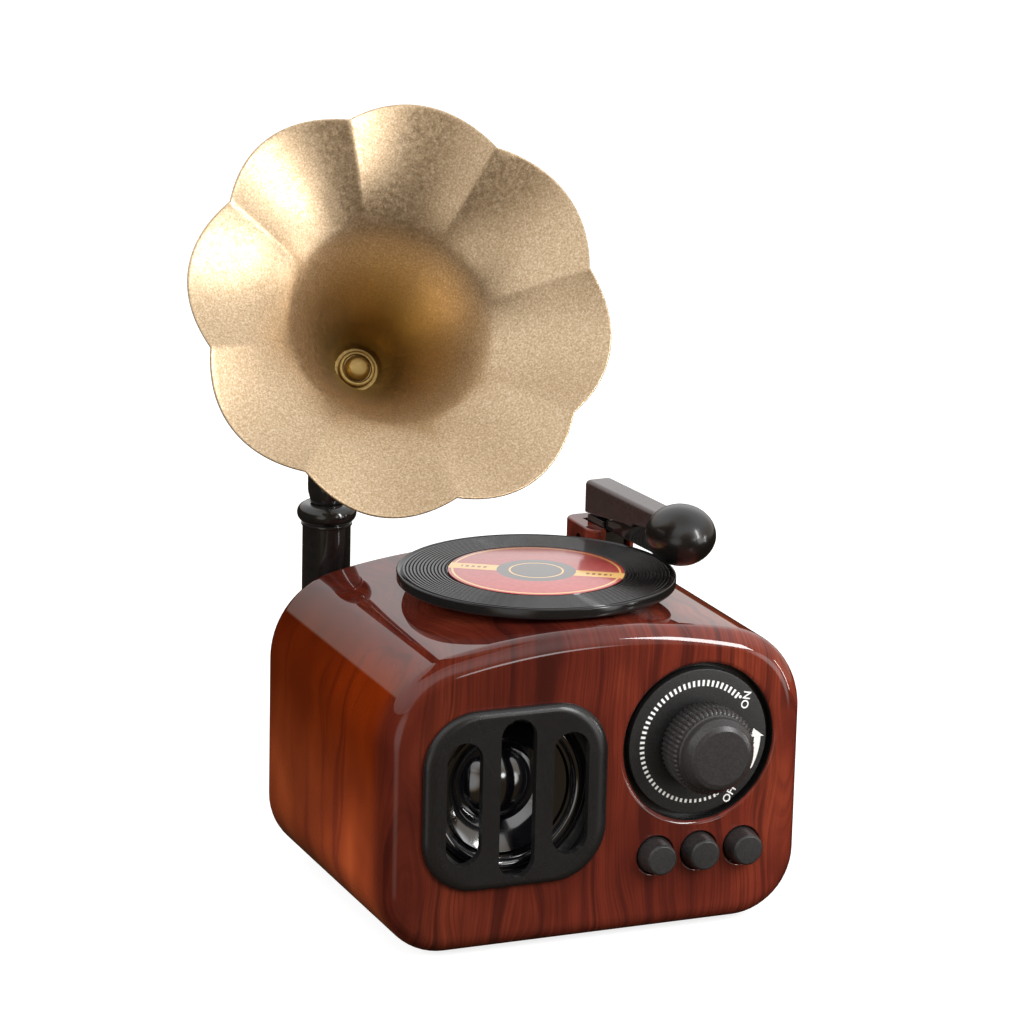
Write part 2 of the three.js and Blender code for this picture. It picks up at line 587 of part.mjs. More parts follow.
function buildPost() {
  const bracketFront = coverOuter + gap;
  const bracket = new THREE.Shape();
  const half = 9;
  const back = post.y + half;
  bracket.moveTo(post.x - half, bracketFront);
  bracket.lineTo(post.x + half, bracketFront);
  bracket.absarc(post.x, post.y, half, 0, PI);
  bracket.closePath();
  const body = new THREE.ExtrudeGeometry(bracket, {
    depth: 20.6, curveSegments: 8, bevelEnabled: false,
  });
  let holder = cut(solid(body.translate(0, 0, 32)),
    rodZ(post.radius + gap, post.foot - gap, 70, post.x, post.y),
    block(post.x - 20, post.x + 20, back - 0.4, back + 5, 30, 70));
  for (const [x, z] of bracketScrews()) {
    holder = cut(holder, rodY(1.3, bracketFront - 1, bracketFront + 8, x, z, 10));
  }
  piece('post_bracket', holder, black);
  bracketScrews().forEach(([x, z], index) => {
    screw(`bracket_screw_${index + 1}`, x, z, coverInner, 9.5, -1);
  });
  const z = post.collarZ;
  const profile = [
    [0, post.foot], [post.radius, post.foot], [post.radius, z - 2.9], [post.radius + 0.3, z - 2.7],
    [post.radius + 0.3, z - 2.3], [post.radius + 0.1, z - 2.1], [6.4, z - 1.7], [6.85, z - 0.9],
    [post.collar, z], [6.8, z + 1], [6.2, z + 1.8], [5.3, z + 2.3], [4.2, z + 2.3],
    [3.7, z + 1.6], [3.7, z - 13], [0, z - 13]];
  piece('horn_post', solid(turned(profile, 20).translate(post.x, post.y, 0)), black);
}

// Radius and distance behind the mouth of the bell's inner face, from the throat to the rim.
const bellLine = [
  [4.9, horn.mouth - horn.throat], [6.6, 41.8], [9, 35], [12.4, 27], [16.4, 19.1], [20.2, 13.3],
  [23.4, 9.7], [27.5, 6.6], [32, 4.1], [37.5, 1.8], [horn.notchRadius, 0],
];

// The bell is turned, and then its outer part is pushed out between the petals' notches.
function hornBell() {
  const inner = bellLine.map(([radius, back]) => [radius, horn.mouth - back]);
  const outer = inner.map(([radius, along], index) => {
    const before = inner[Math.max(index - 1, 0)];
    const after = inner[Math.min(index + 1, inner.length - 1)];
    const length = hypot(after[0] - before[0], after[1] - before[1]);
    return [radius + horn.wall * (after[1] - before[1]) / length,
      along - horn.wall * (after[0] - before[0]) / length];
  });
  const neck = horn.neck + gap;
  const sleeve = [[6.3, horn.throat - 1], [6.3, horn.throat - 8], [neck, horn.throat - 8],
    [neck, horn.throat - 1], [3.7, horn.throat - 1], [3.7, horn.throat]];
  const back = outer.filter((point, index) => index % 2 === 0).reverse();
  const profile = [...inner, ...back.slice(0, -1), ...sleeve, inner[0]];
  const bell = turned(profile, 6 * horn.petals);
  const place = bell.attributes.position;
  for (let i = 0; i < place.count; i += 1) {
    const [x, y] = [place.getX(i), place.getY(i)];
    const radius = hypot(x, y);
    const reach = (radius - horn.creaseRadius) / (horn.notchRadius - horn.creaseRadius);
    if (reach <= 0) continue;
    const swell = Math.min(reach, 1.1) * abs(sin(horn.petals / 2 * Math.atan2(y, x))) ** 1.1;
    const scale = 1 + swell * horn.petalRadius / radius;
    place.setXYZ(i, x * scale, y * scale, place.getZ(i) + swell * horn.petalCurl);
  }
  return solid(bell.rotateZ(horn.notchAngle));
}

// The neck rises out of the post's collar, bends over to the horn's line and ends in the throat.
function hornNeck() {
  const turn = PI / 2 - horn.pitch;
  const tangent = horn.bend * tan(turn / 2);
  const corner = new THREE.Vector3(0, 0, horn.cornerZ);
  const onAxis = (reach) => new THREE.Vector3(0, -cos(horn.pitch), sin(horn.pitch))
    .multiplyScalar(reach).add(corner);
  const low = new THREE.Vector3(0, 0, post.collarZ + 6);
  const bendStart = new THREE.Vector3(0, 0, horn.cornerZ - tangent);
  const path = new THREE.CurvePath();
  path.add(new THREE.LineCurve3(low, bendStart));
  path.add(new THREE.QuadraticBezierCurve3(bendStart, corner, onAxis(tangent)));
  path.add(new THREE.LineCurve3(onAxis(tangent), onAxis(horn.throat - 1.3)));
  const section = new THREE.Shape().absarc(0, 0, horn.neck, 0, 2 * PI);
  const tube = solid(new THREE.ExtrudeGeometry(section, {
    steps: 14, curveSegments: 7, extrudePath: path, bevelEnabled: false,
  }));
  const top = post.collarZ + 2.6;
  const foot = turnedSolid([[0, post.collarZ - 12.6], [3.4, post.collarZ - 12.6], [3.4, top],
    [3.85, top], [horn.neck, top + 2], [horn.neck, top + 3.6], [0, top + 3.6]], 16);
  const lay = (geometry) => solid(geometry.rotateX(turn).translate(0, 0, horn.cornerZ));
  const spigot = lay(turned([[0, horn.throat - 5], [3.4, horn.throat - 5], [3.4, horn.throat],
    [0, horn.throat]], 16));
  const bore = lay(turned([[0, horn.throat - 9], [1.5, horn.throat - 9], [1.5, horn.throat + 1],
    [0, horn.throat + 1]], 12));
  return cut(join(tube, foot, spigot), bore);
}

function buildHorn() {
  const hornFrame = new THREE.Group();
  hornFrame.position.set(post.x, post.y, 0);
  hornFrame.rotation.z = horn.yaw;
  object.add(hornFrame);
  const axisFrame = new THREE.Group();
  axisFrame.position.z = horn.cornerZ;
  axisFrame.rotation.x = PI / 2 - horn.pitch;
  hornFrame.add(axisFrame);
  piece('horn_neck', hornNeck(), black, hornFrame);
  piece('horn_bell', hornBell(), gold, axisFrame);
  const z = horn.throat + gap;
  piece('throat_washer', turnedSolid(
    [[1.8, z], [4.1, z], [4.2, z + 0.5], [3.9, z + 1], [3.3, z + 1], [3.2, z + 0.6],
      [1.8, z + 0.6], [1.8, z]], 16), gold, axisFrame);
  piece('throat_screw', turnedSolid(
    [[0, z - 7], [1.2, z - 7], [1.2, z + 0.9], [2.9, z + 0.9], [2.8, z + 1.7], [2, z + 2.4],
      [0, z + 2.7]], 14), gold, axisFrame);
}

// ---------------------------------------------------------------- assembly
piece('cabinet_shell', cabinetShell(), wood);
piece('rear_cover', rearCover(), satinBlack);
columns.forEach(([x, z], index) => {
  screw(`cover_screw_${index + 1}`, x, z, coverOuter, 10);
});
piece('base_pad', basePad(), rubber);
buildSpeaker();
buildElectronics();
buildDial();
buildKeys();
buildRecord();
buildToneArm();
buildPost();
buildHorn();

export default object;
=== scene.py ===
"""The looks of a miniature loudspeaker styled as a table gramophone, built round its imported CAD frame.

Sizes are in millimetres, in the CAD frame: +X to the right of the front, +Y to the rear, +Z up. Meshes
are scaled to metres as they are made.
"""

import itertools
import json
import math

import bmesh
import bpy
from mathutils import Matrix, Vector


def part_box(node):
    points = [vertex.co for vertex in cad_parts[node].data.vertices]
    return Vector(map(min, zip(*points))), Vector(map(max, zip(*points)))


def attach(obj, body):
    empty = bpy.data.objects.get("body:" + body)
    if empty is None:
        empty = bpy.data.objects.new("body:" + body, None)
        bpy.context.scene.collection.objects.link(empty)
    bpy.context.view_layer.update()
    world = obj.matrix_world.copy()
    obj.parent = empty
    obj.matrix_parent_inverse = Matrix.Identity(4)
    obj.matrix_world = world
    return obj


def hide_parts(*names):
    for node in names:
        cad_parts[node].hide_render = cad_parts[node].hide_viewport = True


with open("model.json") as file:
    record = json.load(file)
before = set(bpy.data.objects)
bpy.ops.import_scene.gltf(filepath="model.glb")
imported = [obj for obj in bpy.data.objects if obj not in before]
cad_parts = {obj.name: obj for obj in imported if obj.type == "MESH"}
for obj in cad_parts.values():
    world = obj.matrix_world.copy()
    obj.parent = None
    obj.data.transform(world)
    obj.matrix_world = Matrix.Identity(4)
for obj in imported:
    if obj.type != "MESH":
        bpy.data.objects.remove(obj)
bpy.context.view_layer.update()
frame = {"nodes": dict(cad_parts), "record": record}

MM = 0.001
scene = bpy.context.scene


# ---------------------------------------------------------------- sizes from the frame
def box(node):
    """Lowest and highest corner of a CAD node, in millimetres."""
    low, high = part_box(node)
    return low / MM, high / MM


def centre(node):
    low, high = box(node)
    return (low + high) / 2


shell_low, shell_high = box("cabinet_shell")
FRONT, REAR = shell_low.y, shell_high.y
BASE = shell_low.z
HALF_WIDTH = shell_high.x
CREST = shell_high.z
EDGE = 4.6
WALL = 3.0
BOTTOM_RADIUS = 15.0
TOP_RADIUS = 20.0
SHOULDER = BASE + 48.0

# The arched top: one arc that meets both round shoulders without a corner.
shoulder_x = HALF_WIDTH - TOP_RADIUS
rise = CREST - SHOULDER
ARCH_RADIUS = (shoulder_x**2 + rise**2 - TOP_RADIUS**2) / (2 * (rise - TOP_RADIUS))
ARCH_Z = CREST - ARCH_RADIUS
LEAN = math.atan2(shoulder_x, SHOULDER - ARCH_Z)


post_mid = centre("horn_post")
post_foot = box("horn_post")[0].z
COLLAR_Z = BASE + 78.9
CORNER_Z = BASE + 103.9
HORN_YAW, HORN_PITCH = -7.48, 29.0
THROAT, MOUTH = 31.3, 79.6
PETALS, PETAL_REACH, PETAL_CURL = 8, 3.5, -1.1
NOTCH_RADIUS, CREASE_RADIUS, NOTCH_ANGLE = 43.3, 23.0, 99.9
HORN_WALL, RIM_THINNING = 1.1, 0.55
NECK_RADIUS = 4.5
PLUG_RADIUS = 3.4
horn_upright = (Matrix.Translation((post_mid.x, post_mid.y, 0))
                @ Matrix.Rotation(math.radians(HORN_YAW), 4, "Z"))
horn_axes = (horn_upright @ Matrix.Translation((0, 0, CORNER_Z))
             @ Matrix.Rotation(math.radians(90 - HORN_PITCH), 4, "X"))


# ---------------------------------------------------------------- outlines
def arc(cx, cy, radius, start, end, steps):
    """Points of an arc from start to end, in degrees."""
    points = []
    for step in range(steps + 1):
        angle = math.radians(start + (end - start) * step / steps)
        points.append((cx + radius * math.cos(angle), cy + radius * math.sin(angle)))
    return points


def turns(count):
    """Angles once round a circle, in radians."""
    return [2 * math.pi * step / count for step in range(count)]


def line(start, end, steps):
    """Points strictly between two points."""
    return [
        tuple(a + (b - a) * step / steps for a, b in zip(start, end))
        for step in range(1, steps)
    ]


def cabinet_outline(inset):
    """The cabinet's front outline, anticlockwise from the floor's right end, set in by inset."""
    lean = math.degrees(LEAN)
    low = BASE + BOTTOM_RADIUS
    corner_x = HALF_WIDTH - BOTTOM_RADIUS
    right_low = arc(corner_x, low, BOTTOM_RADIUS - inset, -90, 0, 14)
    right_top = arc(shoulder_x, SHOULDER, TOP_RADIUS - inset, 0, 90 - lean, 18)
    arch = arc(0, ARCH_Z, ARCH_RADIUS - inset, 90 - lean, 90 + lean, 36)
    left_top = arc(-shoulder_x, SHOULDER, TOP_RADIUS - inset, 90 + lean, 180, 18)
    left_low = arc(-corner_x, low, BOTTOM_RADIUS - inset, 180, 270, 14)
    right_side = line(right_low[-1], right_top[0], 12)
    left_side = line(left_top[-1], left_low[0], 12)
    floor = line(left_low[-1], right_low[0], 20)
    return right_low + right_side + right_top + arch[1:-1] + left_top + left_side + left_low + floor


def rounded_rectangle(x, z, width, height, radius, steps=12):
    w, h = width / 2 - radius, height / 2 - radius
    points = []
    for corner, (side, end) in enumerate([(1, -1), (1, 1), (-1, 1), (-1, -1)]):
        points += arc(x + side * w, z + end * h, radius, 90 * corner - 90, 90 * corner, steps)
    return points


def circle(x, z, radius, steps=64):
    return arc(x, z, radius, 0, 360, steps)[:-1]


def rounded(corners, steps=5, closed=True):
    """An outline from (x, y, radius) corners, with each corner turned into an arc."""
    points = []
    count = len(corners)
    for index, (x, y, radius) in enumerate(corners):
        if radius <= 0 or (not closed and index in (0, count - 1)):
            points.append((x, y))
            continue
        before = corners[index - 1]
        after = corners[(index + 1) % count]
        here = Vector((x, y))
        back = (Vector(before[:2]) - here).normalized()
        ahead = (Vector(after[:2]) - here).normalized()
        half = back.angle(ahead) / 2
        reach = radius / math.tan(half)
        middle = here + (back + ahead).normalized() * (radius / math.sin(half))
        start = here + back * reach - middle
        end = here + ahead * reach - middle
        turn = math.atan2(start.x * end.y - start.y * end.x, start.dot(end))
        for step in range(steps + 1):
            points.append(tuple(middle + Matrix.Rotation(turn * step / steps, 2) @ start))
    return points


# ---------------------------------------------------------------- meshes
def add_object(name, data):
    thing = bpy.data.objects.new(name, data)
    scene.collection.objects.link(thing)
    return thing


def add_piece(name, mesh_points, faces, smooth_angle=32):
    mesh = bpy.data.meshes.new(name)
    mesh.from_pydata([tuple(c * MM for c in point) for point in mesh_points], [], faces)
    return finish_mesh(name, mesh, smooth_angle)


def finish_mesh(name, mesh, smooth_angle=32):
    work = bmesh.new()
    work.from_mesh(mesh)
    bmesh.ops.remove_doubles(work, verts=work.verts, dist=1e-7)
    bmesh.ops.recalc_face_normals(work, faces=work.faces)
    if work.calc_volume(signed=True) < 0:
        bmesh.ops.reverse_faces(work, faces=work.faces)
    work.to_mesh(mesh)
    work.free()
    mesh.polygons.foreach_set("use_smooth", [True] * len(mesh.polygons))
    mesh.set_sharp_from_angle(angle=math.radians(smooth_angle))
    return add_object(name, mesh)


def place(piece, body, slot, *nodes, material=None):
    """Gives a piece its body and its slot's material, and hides the CAD nodes it stands for.

    The material is the slot's own look, unless another is given.
    """
    piece.data.materials.clear()
    piece.data.materials.append(material or LOOKS[slot])
    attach(piece, body)
    if nodes:
        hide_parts(*nodes)
    return piece


def bevel(piece, width, segments=3, angle=40):
    modifier = piece.modifiers.new("edges", "BEVEL")
    modifier.width = width * MM
    modifier.segments = segments
    modifier.limit_method = "ANGLE"
    modifier.angle_limit = math.radians(angle)
    modifier.miter_outer = "MITER_ARC"
    modifier.harden_normals = True
    return piece


def even_shading(piece):
    modifier = piece.modifiers.new("shading", "WEIGHTED_NORMAL")
    modifier.keep_sharp = True
    modifier.weight = 90
    return piece


def front_frame(x, z, y):
    """A turning axis that points out of the cabinet's front."""
    return Matrix(((1, 0, 0, x), (0, 0, -1, y), (0, 1, 0, z), (0, 0, 0, 1)))


def up_frame(x, y):
    return Matrix.Translation((x, y, 0))


def circle_points(axes, radius, height, segments):
    """Points of a circle about the Z of axes, at a height along it."""
    return [axes @ Vector((radius * math.cos(a), radius * math.sin(a), height)) for a in turns(segments)]


def rows_piece(name, rows, closed=False, smooth_angle=32):
    """A mesh through rows of points. A row of one point is a pole, and closed joins last to first."""
    points, indices = [], []
    for row in rows:
        indices.append(range(len(points), len(points) + len(row)))
        points += row
    faces = []
    if closed:
        indices.append(indices[0])
    for low, high in zip(indices, indices[1:]):
        segments = max(len(low), len(high))
        for step in range(segments):
            after = (step + 1) % segments
            if len(low) == 1:
                faces.append((low[0], high[after], high[step]))
            elif len(high) == 1:
                faces.append((low[step], low[after], high[0]))
            else:
                faces.append((low[step], low[after], high[after], high[step]))
    return add_piece(name, points, faces, smooth_angle)


def lathe(name, profile, axes, segments=96, smooth_angle=32):
    """A profile of (radius, height) points turned about the Z of axes.

    It starts and ends on the axis, or it closes on itself.
    """
    closed = profile[0] == profile[-1]
    rows = []
    for radius, height in profile[:-1] if closed else profile:
        if radius < 1e-6:
            rows.append([axes @ Vector((0, 0, height))])
        else:
            rows.append(circle_points(axes, radius, height, segments))
    return rows_piece(name, rows, closed, smooth_angle)


def turned(name, corners, axes, *placing, ring=False, steps=4, segments=96, **more):
    """A lathe piece from (radius, height, rounding) corners, put in place. A ring is clear of the axis."""
    profile = rounded(corners, steps, closed=ring)
    if ring:
        profile.append(profile[0])
    return place(lathe(name, profile, axes, segments), *placing, **more)


def prism(first, second):
    """The points and faces of a solid between two outlines with the same number of points."""
    count = len(first)
    faces = [tuple(range(count)), tuple(range(2 * count - 1, count - 1, -1))]
    for i in range(count):
        j = (i + 1) % count
        faces.append((i, j, count + j, count + i))
    return first + second, faces


BOX_FACES = [(0, 1, 3, 2), (4, 6, 7, 5), (0, 4, 5, 1), (2, 3, 7, 6), (0, 2, 6, 4), (1, 5, 7, 3)]


class Skin:
    """A mesh put together from closed rings of points that all lie across the Y axis, or across Z."""

    def __init__(self, upright=False):
        self.work = bmesh.new()
        self.upright = upright

    def ring(self, outline, level):
        if self.upright:
            return [self.work.verts.new((x * MM, y * MM, level * MM)) for x, y in outline]
        return [self.work.verts.new((x * MM, level * MM, z * MM)) for x, z in outline]

    def wall(self, first, second):
        count = len(first)
        for i in range(count):
            j = (i + 1) % count
            self.work.faces.new((first[i], first[j], second[j], second[i]))

    def walls(self, rings):
        for first, second in zip(rings, rings[1:]):
            self.wall(first, second)

    def face(self, *rings):
        """A flat face bounded by the first ring, with the others as holes in it."""
        edges = []
        for ring in rings:
            for i, vertex in enumerate(ring):
                after = ring[(i + 1) % len(ring)]
                edge = self.work.edges.get((vertex, after)) or self.work.edges.new((vertex, after))
                edges.append(edge)
        bmesh.ops.triangle_fill(self.work, use_beauty=True, use_dissolve=False, edges=edges)

    def piece(self, name, smooth_angle=32):
        mesh = bpy.data.meshes.new(name)
        self.work.to_mesh(mesh)
        self.work.free()
        return finish_mesh(name, mesh, smooth_angle)


def edge_steps(radius, steps=8):
    """(set in, depth) pairs round a quarter circle, from a face to the side it turns into."""
    quarter = [math.pi / 2 * step / steps for step in range(steps + 1)]
    return [(radius * (1 - math.sin(a)), radius * (1 - math.cos(a))) for a in quarter]


# ---------------------------------------------------------------- materials
def new_material(name, color, roughness, metallic=0.0, coat=0.0, coat_roughness=0.03, ior=1.5):
    material = bpy.data.materials.new(name)
    material.use_nodes = True
    nodes = Nodes(material)
    nodes.give(Base_Color=color, Roughness=roughness, Metallic=metallic, IOR=ior, Coat_Weight=coat,
               Coat_Roughness=coat_roughness)
    return material, nodes


class Nodes:
    """Short calls for the nodes that the materials and the world share."""

    def __init__(self, owner, coordinates="Object"):
        self.tree = owner.node_tree
        self.shader = self.tree.nodes.get("Principled BSDF") or self.tree.nodes["Background"]
        self.place = self.tree.nodes.new("ShaderNodeTexCoord").outputs[coordinates]

    def set(self, socket, value):
        """Gives a socket a number, a colour or a vector, or joins it to another node's output."""
        if isinstance(value, tuple) and socket.type == "RGBA":
            socket.default_value = (*value, 1)
        elif isinstance(value, (int, float, tuple, Vector)):
            socket.default_value = value
        else:
            self.tree.links.new(value, socket)

    def give(self, **inputs):
        """Sets inputs of the surface or background, with their names' spaces written as underscores."""
        for name, value in inputs.items():
            self.set(self.shader.inputs[name.replace("_", " ")], value)

    def add(self, kind, output, inputs, **settings):
        """A new node with its inputs and settings. It gives the named output."""
        node = self.tree.nodes.new(f"ShaderNode{kind}")
        for name, value in settings.items():
            setattr(node, name, value)
        for name, value in inputs.items():
            self.set(node.inputs[name], value)
        return node.outputs[output]

    def mapped(self, scale=(1, 1, 1), rotation=(0, 0, 0), location=(0, 0, 0), source=None):
        return self.add("Mapping", "Vector", {"Scale": scale, "Rotation": rotation, "Location": location,
                                              "Vector": source or self.place})

    def noise(self, vector, scale, detail=3.0, roughness=0.5):
        return self.add("TexNoise", "Fac", {"Scale": scale, "Detail": detail, "Roughness": roughness,
                                            "Vector": vector})

    def ramp(self, value, stops):
        node = self.tree.nodes.new("ShaderNodeValToRGB")
        ramp = node.color_ramp
        while len(ramp.elements) < len(stops):
            ramp.elements.new(0.5)
        for element, (position, color) in zip(ramp.elements, stops):
            element.position = position
            element.color = (*color, 1)
        self.set(node.inputs["Fac"], value)
        return node.outputs["Color"]

    def span(self, value, low, high, out_low=0.0, out_high=1.0):
        """A value turned smoothly from one range into another, and held at its ends."""
        return self.add("MapRange", "Result", {"Value": value, "From Min": low, "From Max": high,
                                               "To Min": out_low, "To Max": out_high},
                        interpolation_type="SMOOTHSTEP")

    def math(self, operation, *values):
        return self.add("Math", "Value", dict(enumerate(values)), operation=operation)

    def mix(self, factor, first, second, blend="MIX"):
        node = self.tree.nodes.new("ShaderNodeMix")
        node.data_type = "RGBA"
        node.blend_type = blend
        colors = [socket for socket in node.inputs if socket.type == "RGBA"]
        for socket, value in zip([node.inputs["Factor"], *colors], (factor, first, second)):
            self.set(socket, value)
        return next(socket for socket in node.outputs if socket.type == "RGBA")

    def blend(self, factor, first, second):
        return self.add("Mix", "Result", {"Factor": factor, "A": first, "B": second})

    def along(self, direction, source=None):
        """How far a position lies along a direction."""
        return self.add("VectorMath", "Value", {0: source or self.place, 1: direction},
                        operation="DOT_PRODUCT")

    def axis(self, name, source=None):
        return self.add("SeparateXYZ", name, {"Vector": source or self.place})

    def bump(self, height, strength, distance):
        self.give(Normal=self.add("Bump", "Normal", {"Strength": strength, "Distance": distance,
                                                     "Height": height}))


def wood_material():
    """A mahogany print under thick lacquer: upright streaks, plainer and warmer at the left side, with
    painted light and shade laid over the colour.
    """
    material, nodes = new_material("mahogany_print", (0.12, 0.02, 0.01), 0.6, coat=1.0, coat_roughness=0.012)
    nodes.give(Specular_IOR_Level=0.0)
    wave = nodes.noise(nodes.mapped((34, 34, 16)), 1.0, 2.0)
    drift = nodes.math("MULTIPLY", nodes.math("SUBTRACT", wave, 0.5), 0.022)
    offset = nodes.add("CombineXYZ", "Vector", {"X": drift, "Y": drift})
    bent = nodes.add("VectorMath", "Vector", {0: nodes.place, 1: offset})
    across = nodes.math("ABSOLUTE", nodes.axis("X"))
    at_side = nodes.span(across, 0.040, 0.0475)

    def grain(fast, slow, detail):
        """Noise drawn out along the grain, which runs up the front and sides and over the top."""
        front = nodes.noise(nodes.mapped((fast, slow * 0.6, slow), source=bent), 1.0, detail, 0.6)
        side = nodes.noise(nodes.mapped((slow, fast * 0.6, slow), source=bent), 1.0, detail, 0.6)
        return nodes.blend(at_side, front, side)

    fibre = grain(1500, 30, 4.0)
    streak = grain(330, 11, 3.0)
    patch = nodes.noise(nodes.mapped((38, 30, 20), location=(3.1, 0.4, 0.9)), 1.0, 3.0, 0.55)
    warm = nodes.ramp(patch, [(0.30, (0.076, 0.0112, 0.0068)), (0.50, (0.128, 0.0195, 0.0106)),
                              (0.70, (0.220, 0.039, 0.018))])
    color = nodes.mix(nodes.span(streak, 0.50, 0.36, 0.0, 0.62), warm, (0.026, 0.0050, 0.0048))
    color = nodes.mix(nodes.span(fibre, 0.60, 0.38, 0.0, 0.46), color, (0.045, 0.0075, 0.0055))
    # Painted light and shade across the width: the colour is darkened towards the left and lightened towards
    # the right.
    painted_light_across = nodes.span(nodes.axis("X"), -0.050, 0.035, 0.62, 1.22)
    color = nodes.mix(1.0, color, painted_light_across, "MULTIPLY")
    plain = nodes.ramp(patch, [(0.28, (0.082, 0.012, 0.0025)), (0.5, (0.155, 0.027, 0.0045)),
                               (0.72, (0.250, 0.052, 0.0100))])
    plain = nodes.mix(nodes.span(streak, 0.46, 0.32, 0.0, 0.55), plain, (0.060, 0.008, 0.003))
    # Painted light and shade on the left side: lighter low down, darker up towards the shoulder and towards
    # the rear.
    height = nodes.span(nodes.axis("Z"), SHOULDER * MM, (BASE + 14) * MM)
    painted_side_light = nodes.mix(height, (0.84, 0.50, 0.20), (1.90, 1.95, 3.4))
    painted_rear_shade = nodes.span(nodes.axis("Y"), FRONT * MM + 0.060, FRONT * MM + 0.020, 0.72, 1.12)
    painted_side_light = nodes.mix(1.0, painted_side_light, painted_rear_shade, "MULTIPLY")
    plain = nodes.mix(1.0, plain, painted_side_light, "MULTIPLY")
    side = nodes.math("MULTIPLY", nodes.span(nodes.axis("X"), -0.036, -0.0475),
                      nodes.span(nodes.axis("Y"), FRONT * MM + 0.001, FRONT * MM + 0.012))
    nodes.give(Base_Color=nodes.mix(side, color, plain))
    return material


def plastic(name, color, roughness, coat=0.0, speckle=0.12, grain=2600, depth=0.00002, coat_roughness=0.03,
            ior=1.5):
    """Moulded plastic: a slight unevenness of colour and gloss, and a fine texture."""
    material, nodes = new_material(name, color, roughness, coat=coat, coat_roughness=coat_roughness, ior=ior)
    fine = nodes.noise(nodes.mapped(), grain, 2.0)
    wide = nodes.noise(nodes.mapped(), 60, 3.0)
    dark = tuple(c * (1 - speckle) for c in color)
    light = tuple(min(c * (1 + speckle) + 0.002 * speckle, 1) for c in color)
    nodes.give(Base_Color=nodes.ramp(fine, [(0.35, dark), (0.65, light)]),
               Roughness=nodes.span(wide, 0.3, 0.7, roughness * 0.88, roughness * 1.12))
    nodes.bump(fine, 0.25, depth)
    return material


def gold_material():
    """Metallic paint with a fine glitter in it, and painted shade that darkens it towards the throat."""
    material, nodes = new_material("champagne_gold", (0.58, 0.43, 0.26), 0.38, metallic=0.94)
    flakes = nodes.noise(nodes.mapped(), 2300, 2.0, 0.7)
    blotch = nodes.noise(nodes.mapped(), 900, 2.0, 0.6)
    color = nodes.ramp(flakes, [(0.30, (0.43, 0.303, 0.174)), (0.5, (0.585, 0.430, 0.270)),
                                (0.70, (0.78, 0.62, 0.44))])
    # Painted shade: the gold is darkened to a deep brown towards the throat, down in the funnel.
    corner = Vector((post_mid.x, post_mid.y, CORNER_Z)) * MM
    outward = horn_axes.to_3x3() @ Vector((0, 0, 1))
    reach = nodes.math("SUBTRACT", nodes.along(outward), corner.dot(outward))
    painted_throat_shade = nodes.span(reach, (MOUTH - 8) * MM, (THROAT + 6) * MM)
    color = nodes.mix(painted_throat_shade, color, (0.47, 0.325, 0.120))
    nodes.give(Base_Color=color, Roughness=nodes.span(blotch, 0.3, 0.7, 0.32, 0.44))
    nodes.bump(flakes, 0.35, 0.00004)
    return material


def metal(name, color, roughness):
    material, nodes = new_material(name, color, roughness, metallic=1.0)
    scratch = nodes.noise(nodes.mapped((400, 3000, 3000)), 1.0, 3.0)
    nodes.give(Roughness=nodes.span(scratch, 0.3, 0.7, roughness * 0.8, roughness * 1.25))
    nodes.bump(scratch, 0.1, 0.00001)
    return material


def label_material(x, y):
    """The record's label: a red field with a yellow ring and two yellow bands, round a grey disc."""
    material, nodes = new_material("record_label", (0.45, 0.06, 0.05), 0.35, coat=1.0, coat_roughness=0.12)
    spot = nodes.mapped(location=(-x * MM, -y * MM, 0))
    turned = nodes.mapped(rotation=(0, 0, math.radians(-148.5)), source=spot)
    u = nodes.axis("X", spot)
    v = nodes.axis("Y", spot)
    squares = [nodes.math("MULTIPLY", part, part) for part in (u, v)]
    radius = nodes.math("SQRT", nodes.math("ADD", *squares))

    def inside(low, high, value=radius):
        above = nodes.math("GREATER_THAN", value, low * MM)
        below = nodes.math("LESS_THAN", value, high * MM)
        return nodes.math("MULTIPLY", above, below)

    paper = nodes.noise(nodes.mapped(), 900, 3.0)
    red = nodes.ramp(paper, [(0.35, (0.36, 0.035, 0.03)), (0.65, (0.45, 0.05, 0.042))])
    yellow = (0.80, 0.47, 0.13)
    across = nodes.math("ABSOLUTE", nodes.axis("Y", turned))
    along = nodes.axis("X", turned)
    band = nodes.math("MULTIPLY", nodes.math("LESS_THAN", across, 2.2 * MM), inside(8.9, 21))
    dashes = nodes.math("MULTIPLY", nodes.math("ABSOLUTE", along), 1 / (1.35 * MM))
    dashes = nodes.math("GREATER_THAN", nodes.math("FRACT", dashes), 0.42)
    marks = nodes.math("MULTIPLY", dashes, nodes.math("LESS_THAN", across, 0.75 * MM))
    marks = nodes.math("MULTIPLY", marks, inside(11.2, 17.2))
    color = nodes.mix(inside(18.75, 19.25), red, yellow)
    color = nodes.mix(band, color, yellow)
    color = nodes.mix(marks, color, (0.30, 0.11, 0.03))
    color = nodes.mix(inside(-1, 9.0), color, (0.085, 0.075, 0.070))
    color = nodes.mix(inside(5.85, 6.25), color, yellow)
    nodes.give(Base_Color=color)
    nodes.bump(paper, 0.1, 0.00002)
    return material


def board_material():
    """Green solder mask with pale tracks and pads."""
    material, nodes = new_material("circuit_board", (0.02, 0.16, 0.06), 0.35, coat=0.5)
    flat = nodes.mapped(rotation=(math.pi / 2, 0, 0))
    tracks = nodes.add("TexBrick", "Color", {
        "Vector": flat, "Scale": 300, "Mortar Size": 0.03, "Color1": (0.012, 0.13, 0.045),
        "Color2": (0.018, 0.17, 0.060), "Mortar": (0.05, 0.26, 0.10)})
    nodes.give(Base_Color=tracks)
    return material


